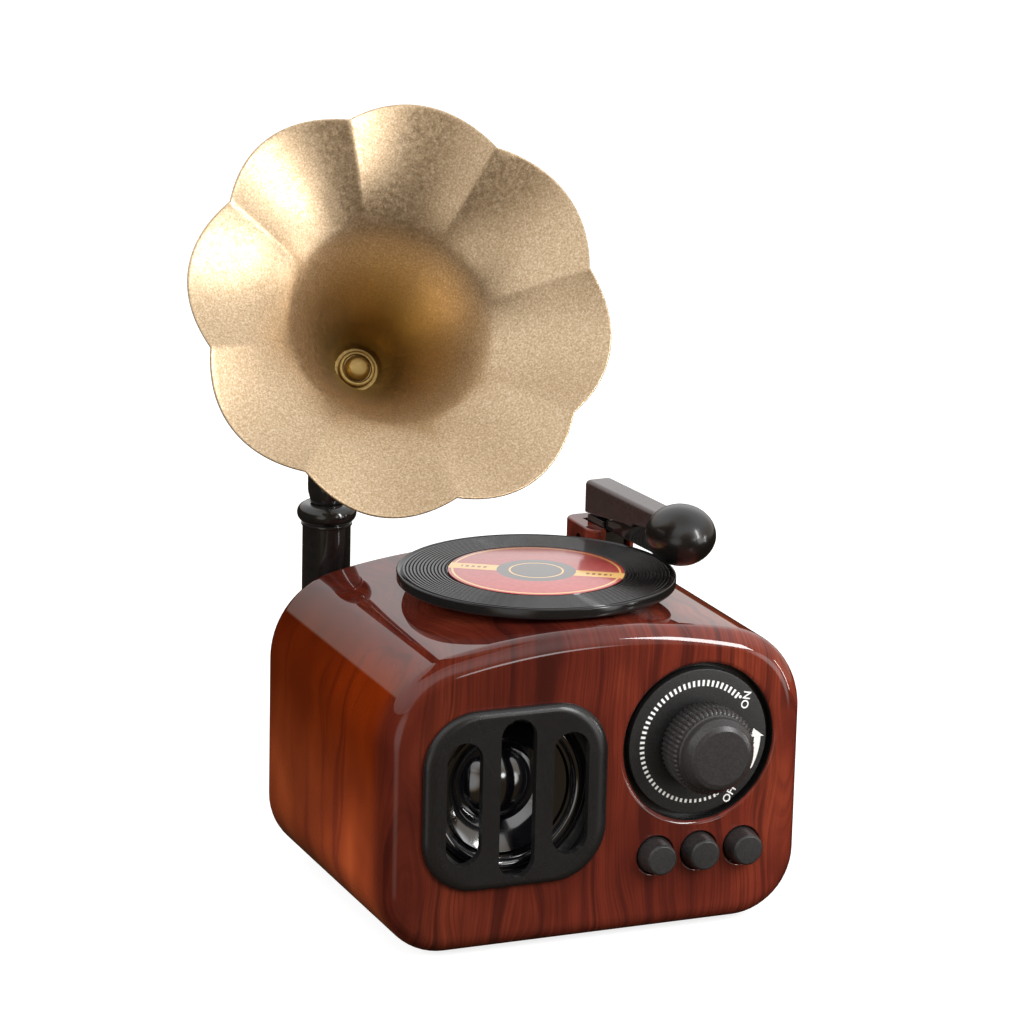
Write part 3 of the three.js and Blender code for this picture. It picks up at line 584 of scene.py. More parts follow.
head_black = plastic("head_black", (0.006, 0.0052, 0.0048), 0.27, coat=0.25, grain=700, depth=0.000002)
key_black = plastic("key_black", (0.020, 0.019, 0.019), 0.36, speckle=0.3)
knob_black = plastic("knob_black", (0.026, 0.024, 0.024), 0.30, speckle=0.25)
cone_black = plastic("cone_black", (0.004, 0.004, 0.0055), 0.10, coat=1.0, grain=900, depth=0.000002,
                     ior=2.0)
rubber = plastic("rubber", (0.018, 0.018, 0.018), 0.75, speckle=0.3, grain=1200, depth=0.00006)

# What each material slot looks like.
LOOKS = {
    "wood_print": wood_material(),
    "gloss_black": plastic("gloss_black", (0.009, 0.0082, 0.0076), 0.11, coat=0.3, grain=700,
                           depth=0.000004),
    "satin_black": plastic("satin_black", (0.0085, 0.0080, 0.0080), 0.27, speckle=0.2),
    "arm_brown": plastic("arm_brown", (0.044, 0.028, 0.026), 0.26, coat=0.3, grain=900, depth=0.000006,
                         coat_roughness=0.2),
    "dial_face": plastic("dial_black", (0.014, 0.0135, 0.0135), 0.42, speckle=0.4),
    "record_black": plastic("record_black", (0.008, 0.0075, 0.0075), 0.15, grain=1500, depth=0.000008),
    "white_print": plastic("white_print", (0.86, 0.86, 0.84), 0.5, speckle=0.03),
    "horn_gold": gold_material(),
    "driver_cone": cone_black,
    "soft_rubber": rubber,
    "foam_rubber": rubber,
    "rubber_pad": rubber,
    "record_label": rubber,
    "lead_wire": plastic("wire_skin", (0.02, 0.02, 0.02), 0.55),
    "ferrite": plastic("ferrite", (0.055, 0.055, 0.06), 0.7, speckle=0.3, grain=1500),
    "circuit_board": board_material(),
    "steel": metal("bright_steel", (0.62, 0.62, 0.63), 0.28),
    "copper": metal("copper_winding", (0.72, 0.34, 0.16), 0.32),
    "foil_can": metal("silver_foil", (0.72, 0.73, 0.75), 0.35),
}


# ---------------------------------------------------------------- cabinet
grille_mid = centre("speaker_grille")
dial_mid = centre("dial_plate")
key_mids = [centre(f"key_cap_{index}") for index in (1, 2, 3)]
record_mid = centre("record_disc")
HOLE_WIDTH, HOLE_HEIGHT, HOLE_RADIUS = 38.6, 38.2, 14.0
KEY_RADIUS = 4.2
GAP = 0.3
WELL_RADIUS, WELL_DEPTH, LIP = 18.1, 3.1, 1.3
BOSS_RADIUS, BOSS_DEPTH = 19.1, 5.5
BUSH_HOLE = 3.9
COVER_INSET = 6.1
RIM_Y = box("rear_cover")[0].y - 0.1


def make_cabinet():
    skin = Skin()
    inner_front = FRONT + WALL
    edge = edge_steps(EDGE, 10)
    outer = [skin.ring(cabinet_outline(inset), FRONT + depth) for inset, depth in edge]
    for share in (0.2, 0.4, 0.6, 0.8):
        y = FRONT + EDGE + (REAR - FRONT - 2 * EDGE) * share
        outer.append(skin.ring(cabinet_outline(0), y))
    outer += [skin.ring(cabinet_outline(inset), REAR - depth) for inset, depth in reversed(edge)]
    opening = COVER_INSET - GAP
    outer += [skin.ring(cabinet_outline(opening), REAR), skin.ring(cabinet_outline(opening), RIM_Y)]
    outer += [skin.ring(cabinet_outline(WALL), RIM_Y), skin.ring(cabinet_outline(WALL), inner_front)]
    skin.walls(outer)

    def hole(outline, y_start, y_end, soften=0.0):
        """A straight hole, its front edge rounded by soften. It gives its front and rear rings."""
        steps = edge_steps(soften, 4) if soften else [(0, 0)]
        rings = [skin.ring(outline(inset), y_start + depth) for inset, depth in steps]
        rings.append(skin.ring(outline(0), y_end))
        skin.walls(rings)
        return rings[0], rings[-1]

    def grille_outline(grow):
        return rounded_rectangle(grille_mid.x, grille_mid.z, HOLE_WIDTH + 2 * grow,
                                 HOLE_HEIGHT + 2 * grow, HOLE_RADIUS + grow)

    holes = [hole(grille_outline, FRONT, inner_front)]
    for mid in key_mids:
        holes.append(hole(lambda grow, mid=mid: circle(mid.x, mid.z, KEY_RADIUS + GAP + grow),
                          FRONT, inner_front, 0.35))

    def dial_ring(radius, y):
        return skin.ring(circle(dial_mid.x, dial_mid.z, radius, 96), y)

    well = [dial_ring(WELL_RADIUS + inset, FRONT + depth) for inset, depth in edge_steps(LIP, 8)]
    well += [dial_ring(WELL_RADIUS, FRONT + WELL_DEPTH), dial_ring(BUSH_HOLE, FRONT + WELL_DEPTH),
             dial_ring(BUSH_HOLE, FRONT + BOSS_DEPTH), dial_ring(BOSS_RADIUS, FRONT + BOSS_DEPTH),
             dial_ring(BOSS_RADIUS, inner_front)]
    skin.walls(well)
    skin.face(outer[0], well[0], *[pair[0] for pair in holes])
    skin.face(outer[-1], well[-1], *[pair[1] for pair in holes])
    piece = skin.piece("cabinet")
    drill(piece, up_frame(record_mid.x, record_mid.y), BUSH_HOLE, CREST - 6, CREST + 2, 48)
    even_shading(piece)
    place(piece, "cabinet", "wood_print", "cabinet_shell")
    # Painted shade: the dial's well is made black below its lip.
    shade_well_black(piece)
    return piece


def shade_well_black(piece):
    """The dial's well is coloured black below its rounded lip, as painted shade in the recess."""
    piece.data.materials.append(LOOKS["satin_black"])
    for polygon in piece.data.polygons:
        x, y, z = polygon.center / MM
        off_axis = math.hypot(x - dial_mid.x, z - dial_mid.z)
        if off_axis < WELL_RADIUS + 0.25 and FRONT + 0.6 < y < FRONT + WELL_DEPTH + 0.5:
            polygon.material_index = 1


def evaluated_mesh(thing):
    depsgraph = bpy.context.evaluated_depsgraph_get()
    return bpy.data.meshes.new_from_object(thing.evaluated_get(depsgraph), depsgraph=depsgraph)


def cut_away(piece, cutter):
    modifier = piece.modifiers.new("cut", "BOOLEAN")
    modifier.operation = "DIFFERENCE"
    modifier.solver = "EXACT"
    modifier.object = cutter
    made = evaluated_mesh(piece)
    piece.modifiers.clear()
    piece.data = made
    bpy.data.objects.remove(cutter)
    return piece


def drill(piece, axes, radius, low, high, segments=32):
    """Cuts a round hole along the Z of axes, between two heights."""
    bar = [(0, low), (radius, low), (radius, high), (0, high)]
    return cut_away(piece, lathe("drill", bar, axes, segments))


def cut_block(piece, axes, low, high):
    """Cuts out a box that is given by two corners in axes."""
    corners = [axes @ Vector(corner) for corner in itertools.product(*zip(low, high))]
    return cut_away(piece, add_piece("block", corners, BOX_FACES))


# ---------------------------------------------------------------- grille and driver
def make_grille():
    low, high = box("speaker_grille")
    width, height = high.x - low.x, high.z - low.z
    seat = FRONT - GAP
    back = FRONT - 0.1
    spigot_wall = 0.5
    skin = Skin()

    slot_edge, slot_half, tallest = 0.4, 4.2, 36.4
    side_roll = 3.1
    top_roll = min(side_roll, (height - tallest) / 2 - slot_edge - 0.3)

    def plate(share):
        """The plate's outline, set in by a share of the rolled edge, which is narrower above and below."""
        return rounded_rectangle(grille_mid.x, grille_mid.z, width - 2 * side_roll * share,
                                 height - 2 * top_roll * share, 12.5 - top_roll * share, 16)

    def spigot(inset):
        grow = 2 * (GAP + inset)
        return rounded_rectangle(grille_mid.x, grille_mid.z, HOLE_WIDTH - grow, HOLE_HEIGHT - grow,
                                 HOLE_RADIUS - GAP - inset, 16)

    rings = []
    for step in range(13):
        angle = math.pi / 2 * step / 12
        rings.append(skin.ring(plate(1 - math.sin(angle)), low.y + 1.45 * (1 - math.cos(angle))))
    rings += [skin.ring(plate(0), seat - 0.15), skin.ring(plate(0.05), seat)]
    rings += [skin.ring(spigot(0), seat), skin.ring(spigot(0), FRONT + 2.2)]
    rings += [skin.ring(spigot(spigot_wall), FRONT + 2.2), skin.ring(spigot(spigot_wall), back)]
    skin.walls(rings)
    fronts, backs = [], []
    for side in (-1, 0, 1):
        tall = tallest if side == 0 else 28.1
        x = grille_mid.x + side * 3 * slot_half

        def slot(grow, x=x, tall=tall):
            half = slot_half + grow
            return rounded_rectangle(x, grille_mid.z, 2 * half, tall + 2 * grow, half - 0.01, 16)

        lip = [skin.ring(slot(slot_edge - inset), low.y + depth)
               for inset, depth in edge_steps(slot_edge, 5)]
        lip.append(skin.ring(slot(0), back))
        skin.walls(lip)
        fronts.append(lip[0])
        backs.append(lip[-1])
    skin.face(rings[0], *fronts)
    skin.face(rings[-1], *backs)
    piece = even_shading(skin.piece("grille"))
    return place(piece, "cabinet", "satin_black", "speaker_grille")


def make_driver():
    axes = front_frame(grille_mid.x, grille_mid.z, box("driver_basket")[0].y)
    basket_depth = 12.8
    frame_corners = [(18.6, 0, 0.15), (22, 0, 0.3), (22, -1.5, 0.3), (18, -1.5, 0.5), (12.4, -10.5, 0.8),
                     (11.4, -basket_depth, 0.3), (7, -basket_depth, 0.2), (7, -11.8, 0.2),
                     (10.6, -11.8, 0.5), (16.6, -1.4, 0.5), (18.6, -1.1, 0.1)]
    turned("driver_frame", frame_corners, axes, "cabinet", "gloss_black", "driver_basket", ring=True,
           steps=3)
    gasket = [(19.2, 0.3, 0.1), (21.9, 0.3, 0.2), (21.9, 1.1, 0.2), (19.2, 1.1, 0.3)]
    turned("driver_gasket_ring", gasket, axes, "cabinet", "foam_rubber", "driver_gasket", ring=True, steps=3)
    roll_mid, roll_out, roll_in, roll_tall = 17, 1.35, 0.95, 1.55
    over = [math.pi * step / 16 for step in range(17)]
    under = [math.pi * step / 12 for step in range(13)]
    roll = [(15.1, -0.3)]
    roll += [(roll_mid - roll_out * math.cos(a), -0.25 + roll_tall * math.sin(a)) for a in over]
    roll += [(18.95, -0.3), (18.95, -0.75)]
    roll += [(roll_mid + roll_in * math.cos(a), -0.75 + roll_tall * math.sin(a)) for a in under]
    roll += [(15.1, -0.75), roll[0]]
    place(lathe("driver_roll", roll, axes), "cabinet", "soft_rubber", "driver_surround", material=cone_black)
    cone = [(6.9, -5.6, 0.2), (10.6, -3.0, 6), (14.8, -1.1, 0.1), (14.8, -1.6, 0.1), (10.6, -3.6, 6),
            (6.9, -6.1, 0.1)]
    turned("cone", cone, axes, "cabinet", "driver_cone", "driver_cone", ring=True)
    dome_radius, dome_curve, dome_foot = 8.6, 13.5, -4.4
    half = math.asin(dome_radius / dome_curve)
    sink = dome_curve * math.cos(half)
    bend = [half * step / 14 for step in range(15)]
    dome = [(dome_curve * math.sin(a), dome_foot + dome_curve * math.cos(a) - sink) for a in bend]
    inner = [(radius * 0.94, height - 0.35) for radius, height in reversed(dome)]
    place(lathe("dust_dome", dome + inner, axes), "cabinet", "driver_cone", "dust_cap")


# ---------------------------------------------------------------- dial and keys
PRINT_HEIGHT = 0.04
TICKS = 50
TICK_START, TICK_SWEEP = 47.0, 242.0
TICK_RADIUS, TICK_WIDTH = 14.25, 0.57


def flat_marks(name, outlines, y):
    """Thin printed shapes, from outlines of (x, z) points, standing a few hundredths off a face."""
    points, faces = [], []
    for outline in outlines:
        first = len(points)
        more, sides = prism(*[[(x, level, z) for x, z in outline] for level in (y - PRINT_HEIGHT, y)])
        points += more
        faces += [tuple(first + index for index in side) for side in sides]
    piece = add_piece(name, points, faces)
    return place(piece, "cabinet", "white_print")


def polar(radius, angle):
    return (dial_mid.x + radius * math.cos(math.radians(angle)),
            dial_mid.z + radius * math.sin(math.radians(angle)))


def make_dial():
    low, high = box("dial_plate")
    radius = (high.x - low.x) / 2
    axes = front_frame(dial_mid.x, dial_mid.z, low.y)
    depth = high.y - low.y
    plate = [(BUSH_HOLE, 0, 0.1), (radius, 0, 0.25), (radius, -depth, 0.2), (BUSH_HOLE, -depth, 0.1)]
    turned("dial_disc", plate, axes, "cabinet", "dial_face", "dial_plate", ring=True, segments=128)
    ticks = []
    long_tick, short_tick = 1.5, 0.75
    half = math.degrees(TICK_WIDTH / TICK_RADIUS) / 2
    for tick in range(TICKS):
        share = tick / (TICKS - 1)
        angle = TICK_START + TICK_SWEEP * share
        inner = TICK_RADIUS - (long_tick + (short_tick - long_tick) * share)
        ticks.append([polar(inner, angle - half), polar(TICK_RADIUS, angle - half),
                      polar(TICK_RADIUS, angle + half), polar(inner, angle + half)])
    for angle in (TICK_START - 3.6, TICK_START + TICK_SWEEP + 3.2):
        ticks.append(circle(*polar(TICK_RADIUS - 0.5, angle), 0.36, 16))
    flat_marks("dial_ticks", ticks, low.y)
    outer = [polar(15.4, -30 + 29 * s / 12) for s in range(13)]
    inner = [polar(13.8 + 0.55 * (s / 12) ** 2, -1 - 29 * s / 12) for s in range(13)]
    head = [polar(16.2, -1), polar(13.7, 7.2), polar(13.0, -1)]
    flat_marks("dial_arrow", [outer + head + inner], low.y)
    dial_word("dial_word_on", "ON", polar(14.35, 36.6), 78, low.y, 1.85)
    dial_word("dial_word_off", "OFF", polar(15.45, -57.5), 58, low.y, 1.8)


def dial_word(name, word, spot, turn, y, letter_height):
    """A printed word, its middle at a spot of the dial and turned clockwise by turn degrees."""
    curve = bpy.data.curves.new(name, "FONT")
    curve.body = word
    curve.size = letter_height * MM * 1.4
    curve.align_x = "CENTER"
    curve.align_y = "CENTER"
    curve.extrude = PRINT_HEIGHT / 2 * MM
    curve.offset = 0.035 * MM
    curve.resolution_u = 3
    curve.space_character = 1.02
    text = add_object(name, curve)
    text.matrix_world = (Matrix.Translation((spot[0] * MM, y * MM - curve.extrude, spot[1] * MM))
                         @ Matrix.Rotation(math.radians(-turn), 4, "Y")
                         @ Matrix.Rotation(math.pi / 2, 4, "X"))
    bpy.context.view_layer.update()
    mesh = evaluated_mesh(text)
    mesh.transform(text.matrix_world)
    bpy.data.objects.remove(text)
    piece = finish_mesh(name, mesh)
    place(piece, "cabinet", "white_print")


def make_knob():
    axes = front_frame(dial_mid.x, dial_mid.z, FRONT)
    top = FRONT - box("volume_knob")[0].y
    teeth, root, tip, shoulder = 52, 9.4, 9.9, 7.8
    cap = rounded([(0, top, 0), (6.2, top, 0.3), (7.3, top - 0.4, 0.6), (8.5, top - 1.9, 1.4),
                   (8.5, 8.35, 0.15), (8.85, 8.1, 0.15), (8.85, shoulder - 0.3, 0)], 5, closed=False)
    cap += [(8.7, shoulder - 0.4), (8.7, 3), (0, 3)]
    place(lathe("knob_cap", cap, axes, 128), "volume", "satin_black", material=knob_black)
    steps = teeth * 6
    rows = []
    for height, share in [(0.8, 0.55), (1.1, 1.0), (shoulder - 0.5, 1.0), (shoulder, 0.25)]:
        row = []
        for angle in turns(steps):
            wave = abs(math.cos(teeth / 2 * angle)) ** 0.8
            radius = root + (tip - root) * wave * share - (1 - share) * 0.25
            row.append(axes @ Vector((radius * math.cos(angle), radius * math.sin(angle), height)))
        rows.append(row)
    rows += [circle_points(axes, 7.2, height, steps) for height in (shoulder, 0.8)]
    skirt = rows_piece("knob_skirt", rows, True, 50)
    place(skirt, "volume", "satin_black", "volume_knob", material=knob_black)


def make_keys():
    flange, stem = 5.1, 1.6
    for index, mid in enumerate(key_mids, 1):
        face = FRONT - box(f"key_cap_{index}")[0].y
        axes = front_frame(mid.x, mid.z, FRONT)
        back = -WALL - GAP
        corners = [(0, face, 0), (3.15, face, 0.3), (3.55, face - 0.4, 0.35), (3.65, face - 1.2, 1),
                   (KEY_RADIUS, 0, 0.5), (KEY_RADIUS, back, 0.05), (flange, back, 0.1),
                   (flange, back - 0.8, 0.1), (stem, back - 0.8, 0.1), (stem, back - 3.1, 0.2),
                   (0, back - 3.1, 0)]
        turned(f"key_{index}_button", corners, axes, f"key_{index}", "satin_black", f"key_cap_{index}",
               steps=5, segments=64, material=key_black)


# ---------------------------------------------------------------- record
GROOVES = 12


def make_record():
    low, high = box("record_disc")
    radius = (high.x - low.x) / 2
    top, bottom = high.z, low.z
    label = (box("record_label")[1].x - box("record_label")[0].x) / 2
    axes = up_frame(record_mid.x, record_mid.y)
    bore = 2.3
    profile = [(bore, bottom), (radius - 1.2, bottom)]
    profile += rounded([(radius - 1.2, bottom, 0), (radius, bottom, 0.5), (radius, top, 0.45),
                        (radius - 1.5, top, 0)], 5, closed=False)[1:-1]
    start, end = radius - 1.3, label + 0.7
    floor, ridge_height = top - 0.55, 0.5
    steps = GROOVES * 14
    for step in range(steps + 1):
        share = step / steps
        ridge = min(1.0, 1.5 * abs(math.sin(math.pi * GROOVES * share))) ** 1.5
        profile.append((start + (end - start) * share, floor + ridge_height * ridge))
    pocket = label + GAP
    profile += [(pocket + 0.1, top), (pocket, top - 0.1), (pocket, top - 0.6), (0.05, top - 0.6),
                (0.05, top - 1), (bore, top - 1), (bore, bottom)]
    place(lathe("record", profile, axes, 192, 40), "record", "record_black", "record_disc")
    paper = [(0, top - 0.3, 0), (label, top - 0.3, 0), (label, top, 0.08), (0, top, 0)]
    turned("label", paper, axes, "record", "record_label", "record_label", steps=3,
           material=label_material(record_mid.x, record_mid.y))


# ---------------------------------------------------------------- tone arm
ARM_YAW = 4.5
pin_mid = centre("tonearm_pin")
arm_axes = Matrix.Translation((pin_mid.x, pin_mid.y, 0)) @ Matrix.Rotation(math.radians(ARM_YAW), 4, "Z")
pin_axes = arm_axes @ Matrix.Translation((0, 0, pin_mid.z)) @ Matrix.Rotation(math.pi / 2, 4, "Y")
ARM_TOP = box("tonearm_beam")[1].z
ARM_BOTTOM = box("tonearm_beam")[0].z
ARM_REACH = 36.2
LEG_WIDTH = 5.9
PIN_HOLE = 1.35


def side_plate(name, outline, width, segments, soft_edges=None, soft=0.0):
    """An outline of (along, height) points, given a width across the arm and rounded edges.

    soft_edges picks edges, by their two ends in the arm's own axes, that are rounded by soft first.
    """
    points, faces = prism(*[[Vector((x, *spot)) for spot in outline] for x in (-width / 2, width / 2)])
    mesh = bpy.data.meshes.new(name)
    mesh.from_pydata([tuple(point * MM) for point in points], [], faces)
    if soft_edges:
        work = bmesh.new()
        work.from_mesh(mesh)
        bmesh.ops.recalc_face_normals(work, faces=work.faces)
        chosen = [edge for edge in work.edges if soft_edges(*(v.co / MM for v in edge.verts))]
        bmesh.ops.bevel(work, geom=chosen, offset=soft * MM, segments=5, profile=0.5, affect="EDGES")
        work.to_mesh(mesh)
        work.free()
    mesh.transform(Matrix.Translation(arm_axes.translation * MM) @ arm_axes.to_3x3().to_4x4())
    piece = finish_mesh(name, mesh, 30)
    return even_shading(bevel(piece, 0.3, segments, 50))


def head_point(along, around):
    """A point of the egg-shaped head, at an angle above its middle and an angle round it."""
    height = math.sin(along)
    tall = 7.2 if height > 0 else 6.9
    wide = math.cos(along) * (1.0 if height > 0 else 1.0 - 0.04 * abs(height))
    return Vector((8.1 * wide * math.cos(around), 8.3 * wide * math.sin(around), tall * height))


def make_head():
    low, high = box("tonearm_head")
    head_mid = Vector((0, -ARM_REACH, (low.z + high.z) / 2 - 0.15))
    levels, segments = 32, 64
    rows = []
    for level in range(levels + 1):
        along = -math.pi / 2 + math.pi * level / levels
        count = 1 if level in (0, levels) else segments
        rows.append([arm_axes @ (head_mid + head_point(along, turn)) for turn in turns(count)])
    piece = rows_piece("arm_head", rows, smooth_angle=60)
    place(piece, "tonearm", "gloss_black", "tonearm_head", material=head_black)


def make_arm():
    rear = 3.8
    tip = -ARM_REACH
    beam = [(tip + 5, ARM_BOTTOM + 4), (tip + 16, ARM_BOTTOM + 2.8), (tip + 16.8, ARM_BOTTOM + 2),
            (tip + 20, ARM_BOTTOM + 1.9), (rear, ARM_BOTTOM), (rear, ARM_TOP), (tip + 5, ARM_TOP)]

    def top_or_rear(first, second):
        on_top = min(first.z, second.z) > ARM_TOP - 0.1 and max(first.y, second.y) > tip + 6
        at_rear = min(first.y, second.y) > rear - 0.1 and abs(first.x - second.x) < 0.1
        return on_top or at_rear

    piece = side_plate("arm_beam", beam, 7, 3, top_or_rear, 1.25)
    place(piece, "tonearm", "arm_brown", "tonearm_beam")
    eye = 2.65
    web = ARM_BOTTOM - 2.3
    leg = [(-5.1, web), (-5.6, web - 0.6), (-5.6, pin_mid.z - eye)]
    leg += arc(0, pin_mid.z, eye, -90, 0, 8)
    leg += [(2.7, ARM_BOTTOM - GAP), (-5.1, ARM_BOTTOM - GAP)]
    piece = drill(side_plate("arm_leg", leg, LEG_WIDTH, 3), pin_axes, PIN_HOLE, -12, 12)
    place(piece, "tonearm", "gloss_black", "tonearm_leg")
    blade = [(tip + 6, web), (-5.0, web), (-5.0, ARM_BOTTOM), (tip + 20, ARM_BOTTOM + 2.3),
             (tip + 6, ARM_BOTTOM + 4.4)]
    place(side_plate("arm_web", blade, 4.4, 3), "tonearm", "gloss_black")
    make_head()


def make_plinth():
    """A block with round corners on the cabinet's arched top, with a slot for the arm's leg."""
    low, high = box("tonearm_plinth")
    mid_x, mid_y = (low.x + high.x) / 2, (low.y + high.y) / 2
    top = high.z
    corner_radius = 3.2
    skin = Skin(upright=True)

    def plan(inset):
        return rounded_rectangle(mid_x, mid_y, high.x - low.x - 2 * inset, high.y - low.y - 2 * inset,
                                 corner_radius - inset, 8)

    rings = [skin.ring(plan(0), SHOULDER)]
    rings += [skin.ring(plan(inset), top - depth) for inset, depth in reversed(edge_steps(0.6, 5))]
    skin.walls(rings)
    skin.face(rings[0])
    skin.face(rings[-1])
    piece = skin.piece("arm_plinth")
    seat = Skin()
    ends = [seat.ring(cabinet_outline(-GAP), y) for y in (FRONT - 5, REAR + 5)]
    seat.walls(ends)
    for end in ends:
        seat.face(end)
    cut_away(piece, seat.piece("seat_cutter"))
    slot_half = LEG_WIDTH / 2 + GAP
    cut_block(piece, arm_axes, (-slot_half, -20, top - 6.5), (slot_half, 4.6, top + 6))
    drill(piece, pin_axes, PIN_HOLE, -12, 12)
    bevel(piece, 0.2, 2, 50)
    even_shading(piece)
    place(piece, "cabinet", "wood_print", "tonearm_plinth")
    pin = [(0, -5, 0), (1.2, -5, 0.3), (1.2, 5, 0.3), (0, 5, 0)]
    turned("arm_pin", pin, pin_axes, "cabinet", "steel", "tonearm_pin", segments=32)


# ---------------------------------------------------------------- post and horn
POST_RADIUS = 5.65
HOLDER_RADIUS = 9.0


def make_post():
    axes = up_frame(post_mid.x, post_mid.y)
    z = COLLAR_Z
    profile = rounded([(0, post_foot, 0), (POST_RADIUS, post_foot, 0.4), (POST_RADIUS, z - 2.95, 0.15),
                       (5.95, z - 2.85, 0.12), (5.95, z - 2.35, 0.12), (5.7, z - 2.2, 0.1)],
                      4, closed=False)
    for step in range(17):
        angle = math.radians(-62 + 128 * step / 16)
        profile.append((5.0 + 1.95 * math.cos(angle), z + 0.05 + 2.15 * math.sin(angle)))
    profile += rounded([(5.3, z + 2.3, 0.2), (4.15, z + 2.35, 0.15), (3.7, z + 2.0, 0.1),
                        (3.7, z - 13, 0), (0, z - 13, 0)], 3, closed=False)
    place(lathe("post", profile, axes, 96, 40), "cabinet", "gloss_black", "horn_post")


def make_bracket():
    low, high = box("post_bracket")
    outline = [(post_mid.x - HOLDER_RADIUS, low.y), (post_mid.x + HOLDER_RADIUS, low.y)]
    outline += arc(post_mid.x, post_mid.y, HOLDER_RADIUS, 0, 180, 28)
    outline = [(x, min(y, high.y)) for x, y in outline]
    points, faces = prism(*[[(*spot, z) for spot in outline] for z in (low.z, high.z)])
    piece = add_piece("post_holder", points, faces, 30)
    drill(piece, up_frame(post_mid.x, post_mid.y), POST_RADIUS + GAP, post_foot - GAP, high.z + 5, 64)
    even_shading(bevel(piece, 0.8, 3, 50))
    place(piece, "cabinet", "gloss_black", "post_bracket")


def tube(name, centres, radii, sides=48):
    """A solid swept along points that lie in one upright plane, with a radius for each."""
    rows = []
    side = Vector((1, 0, 0))
    for index, (spot, radius) in enumerate(zip(centres, radii)):
        before = centres[max(index - 1, 0)]
        after = centres[min(index + 1, len(centres) - 1)]
        up = (after - before).normalized().cross(side)
        rows.append([horn_upright @ (spot + side * radius * math.cos(a) + up * radius * math.sin(a))
                     for a in turns(sides)])
    ends = [[horn_upright @ centres[index]] for index in (0, -1)]
    return rows_piece(name, [ends[0], *rows, ends[1]], smooth_angle=40)


def make_neck():
    pitch = math.radians(HORN_PITCH)
    bend = 16 * math.tan((math.pi / 2 - pitch) / 2)
    corner = Vector((0, 0, CORNER_Z))
    along = Vector((0, -math.cos(pitch), math.sin(pitch)))
    centres, radii = [], []
    for height, radius in ((-12.6, PLUG_RADIUS), (2.35, PLUG_RADIUS), (2.4, 3.75), (2.6, 3.85), (3.0, 3.9),
                           (4.0, 4.15), (5.0, 4.42), (6.0, NECK_RADIUS)):
        centres.append(Vector((0, 0, COLLAR_Z + height)))
        radii.append(radius)
    first = Vector((0, 0, CORNER_Z - bend))
    last = corner + along * bend
    for step in range(25):
        t = step / 24
        centres.append(first * (1 - t) ** 2 + corner * 2 * t * (1 - t) + last * t**2)
        radii.append(NECK_RADIUS)
    for back, radius in ((1.35, NECK_RADIUS), (1.3, NECK_RADIUS - 0.05), (1.25, PLUG_RADIUS),
                         (0, PLUG_RADIUS)):
        centres.append(corner + along * (THROAT - back))
        radii.append(radius)
    piece = tube("neck", centres, radii)
    drill(piece, horn_axes, 1.5, THROAT - 9, THROAT + 1)
    piece.data.set_sharp_from_angle(angle=math.radians(40))
    place(piece, "horn", "gloss_black", "horn_neck")


BELL_LINE = [(4.9, 48.3), (6.4, 42.2), (8.6, 36), (11.8, 29), (15.8, 21.3), (19.8, 15.3), (23.4, 11.2),
             (27.5, 7.8), (32, 5.0), (37.5, 2.3), (42.8, 0)]


def smooth_line(points, steps):
    """Catmull-Rom points through a list of 2-D points."""
    made = []
    for index in range(len(points) - 1):
        p1, p2 = Vector(points[index]), Vector(points[index + 1])
        p0 = Vector(points[index - 1]) if index else p1 * 2 - p2
        p3 = Vector(points[index + 2]) if index + 2 < len(points) else p2 * 2 - p1
        for step in range(steps):
            t = step / steps
            made.append(0.5 * ((2 * p1) + (p2 - p0) * t + (2 * p0 - 5 * p1 + 4 * p2 - p3) * t**2
                               + (3 * p1 - 3 * p2 + p3 - p0) * t**3))
    made.append(Vector(points[-1]))
    return made


def petal_shift(radius, height, angle):
    """Where a point of the turned bell goes once its outer part is pushed out into petals."""
    reach = (radius - CREASE_RADIUS) / (NOTCH_RADIUS - CREASE_RADIUS)
    if reach <= 0:
        return radius, height
    swell = min(reach, 1.1) ** 0.8 * abs(math.sin(PETALS / 2 * angle))
    return radius + swell * PETAL_REACH, height + swell * PETAL_CURL


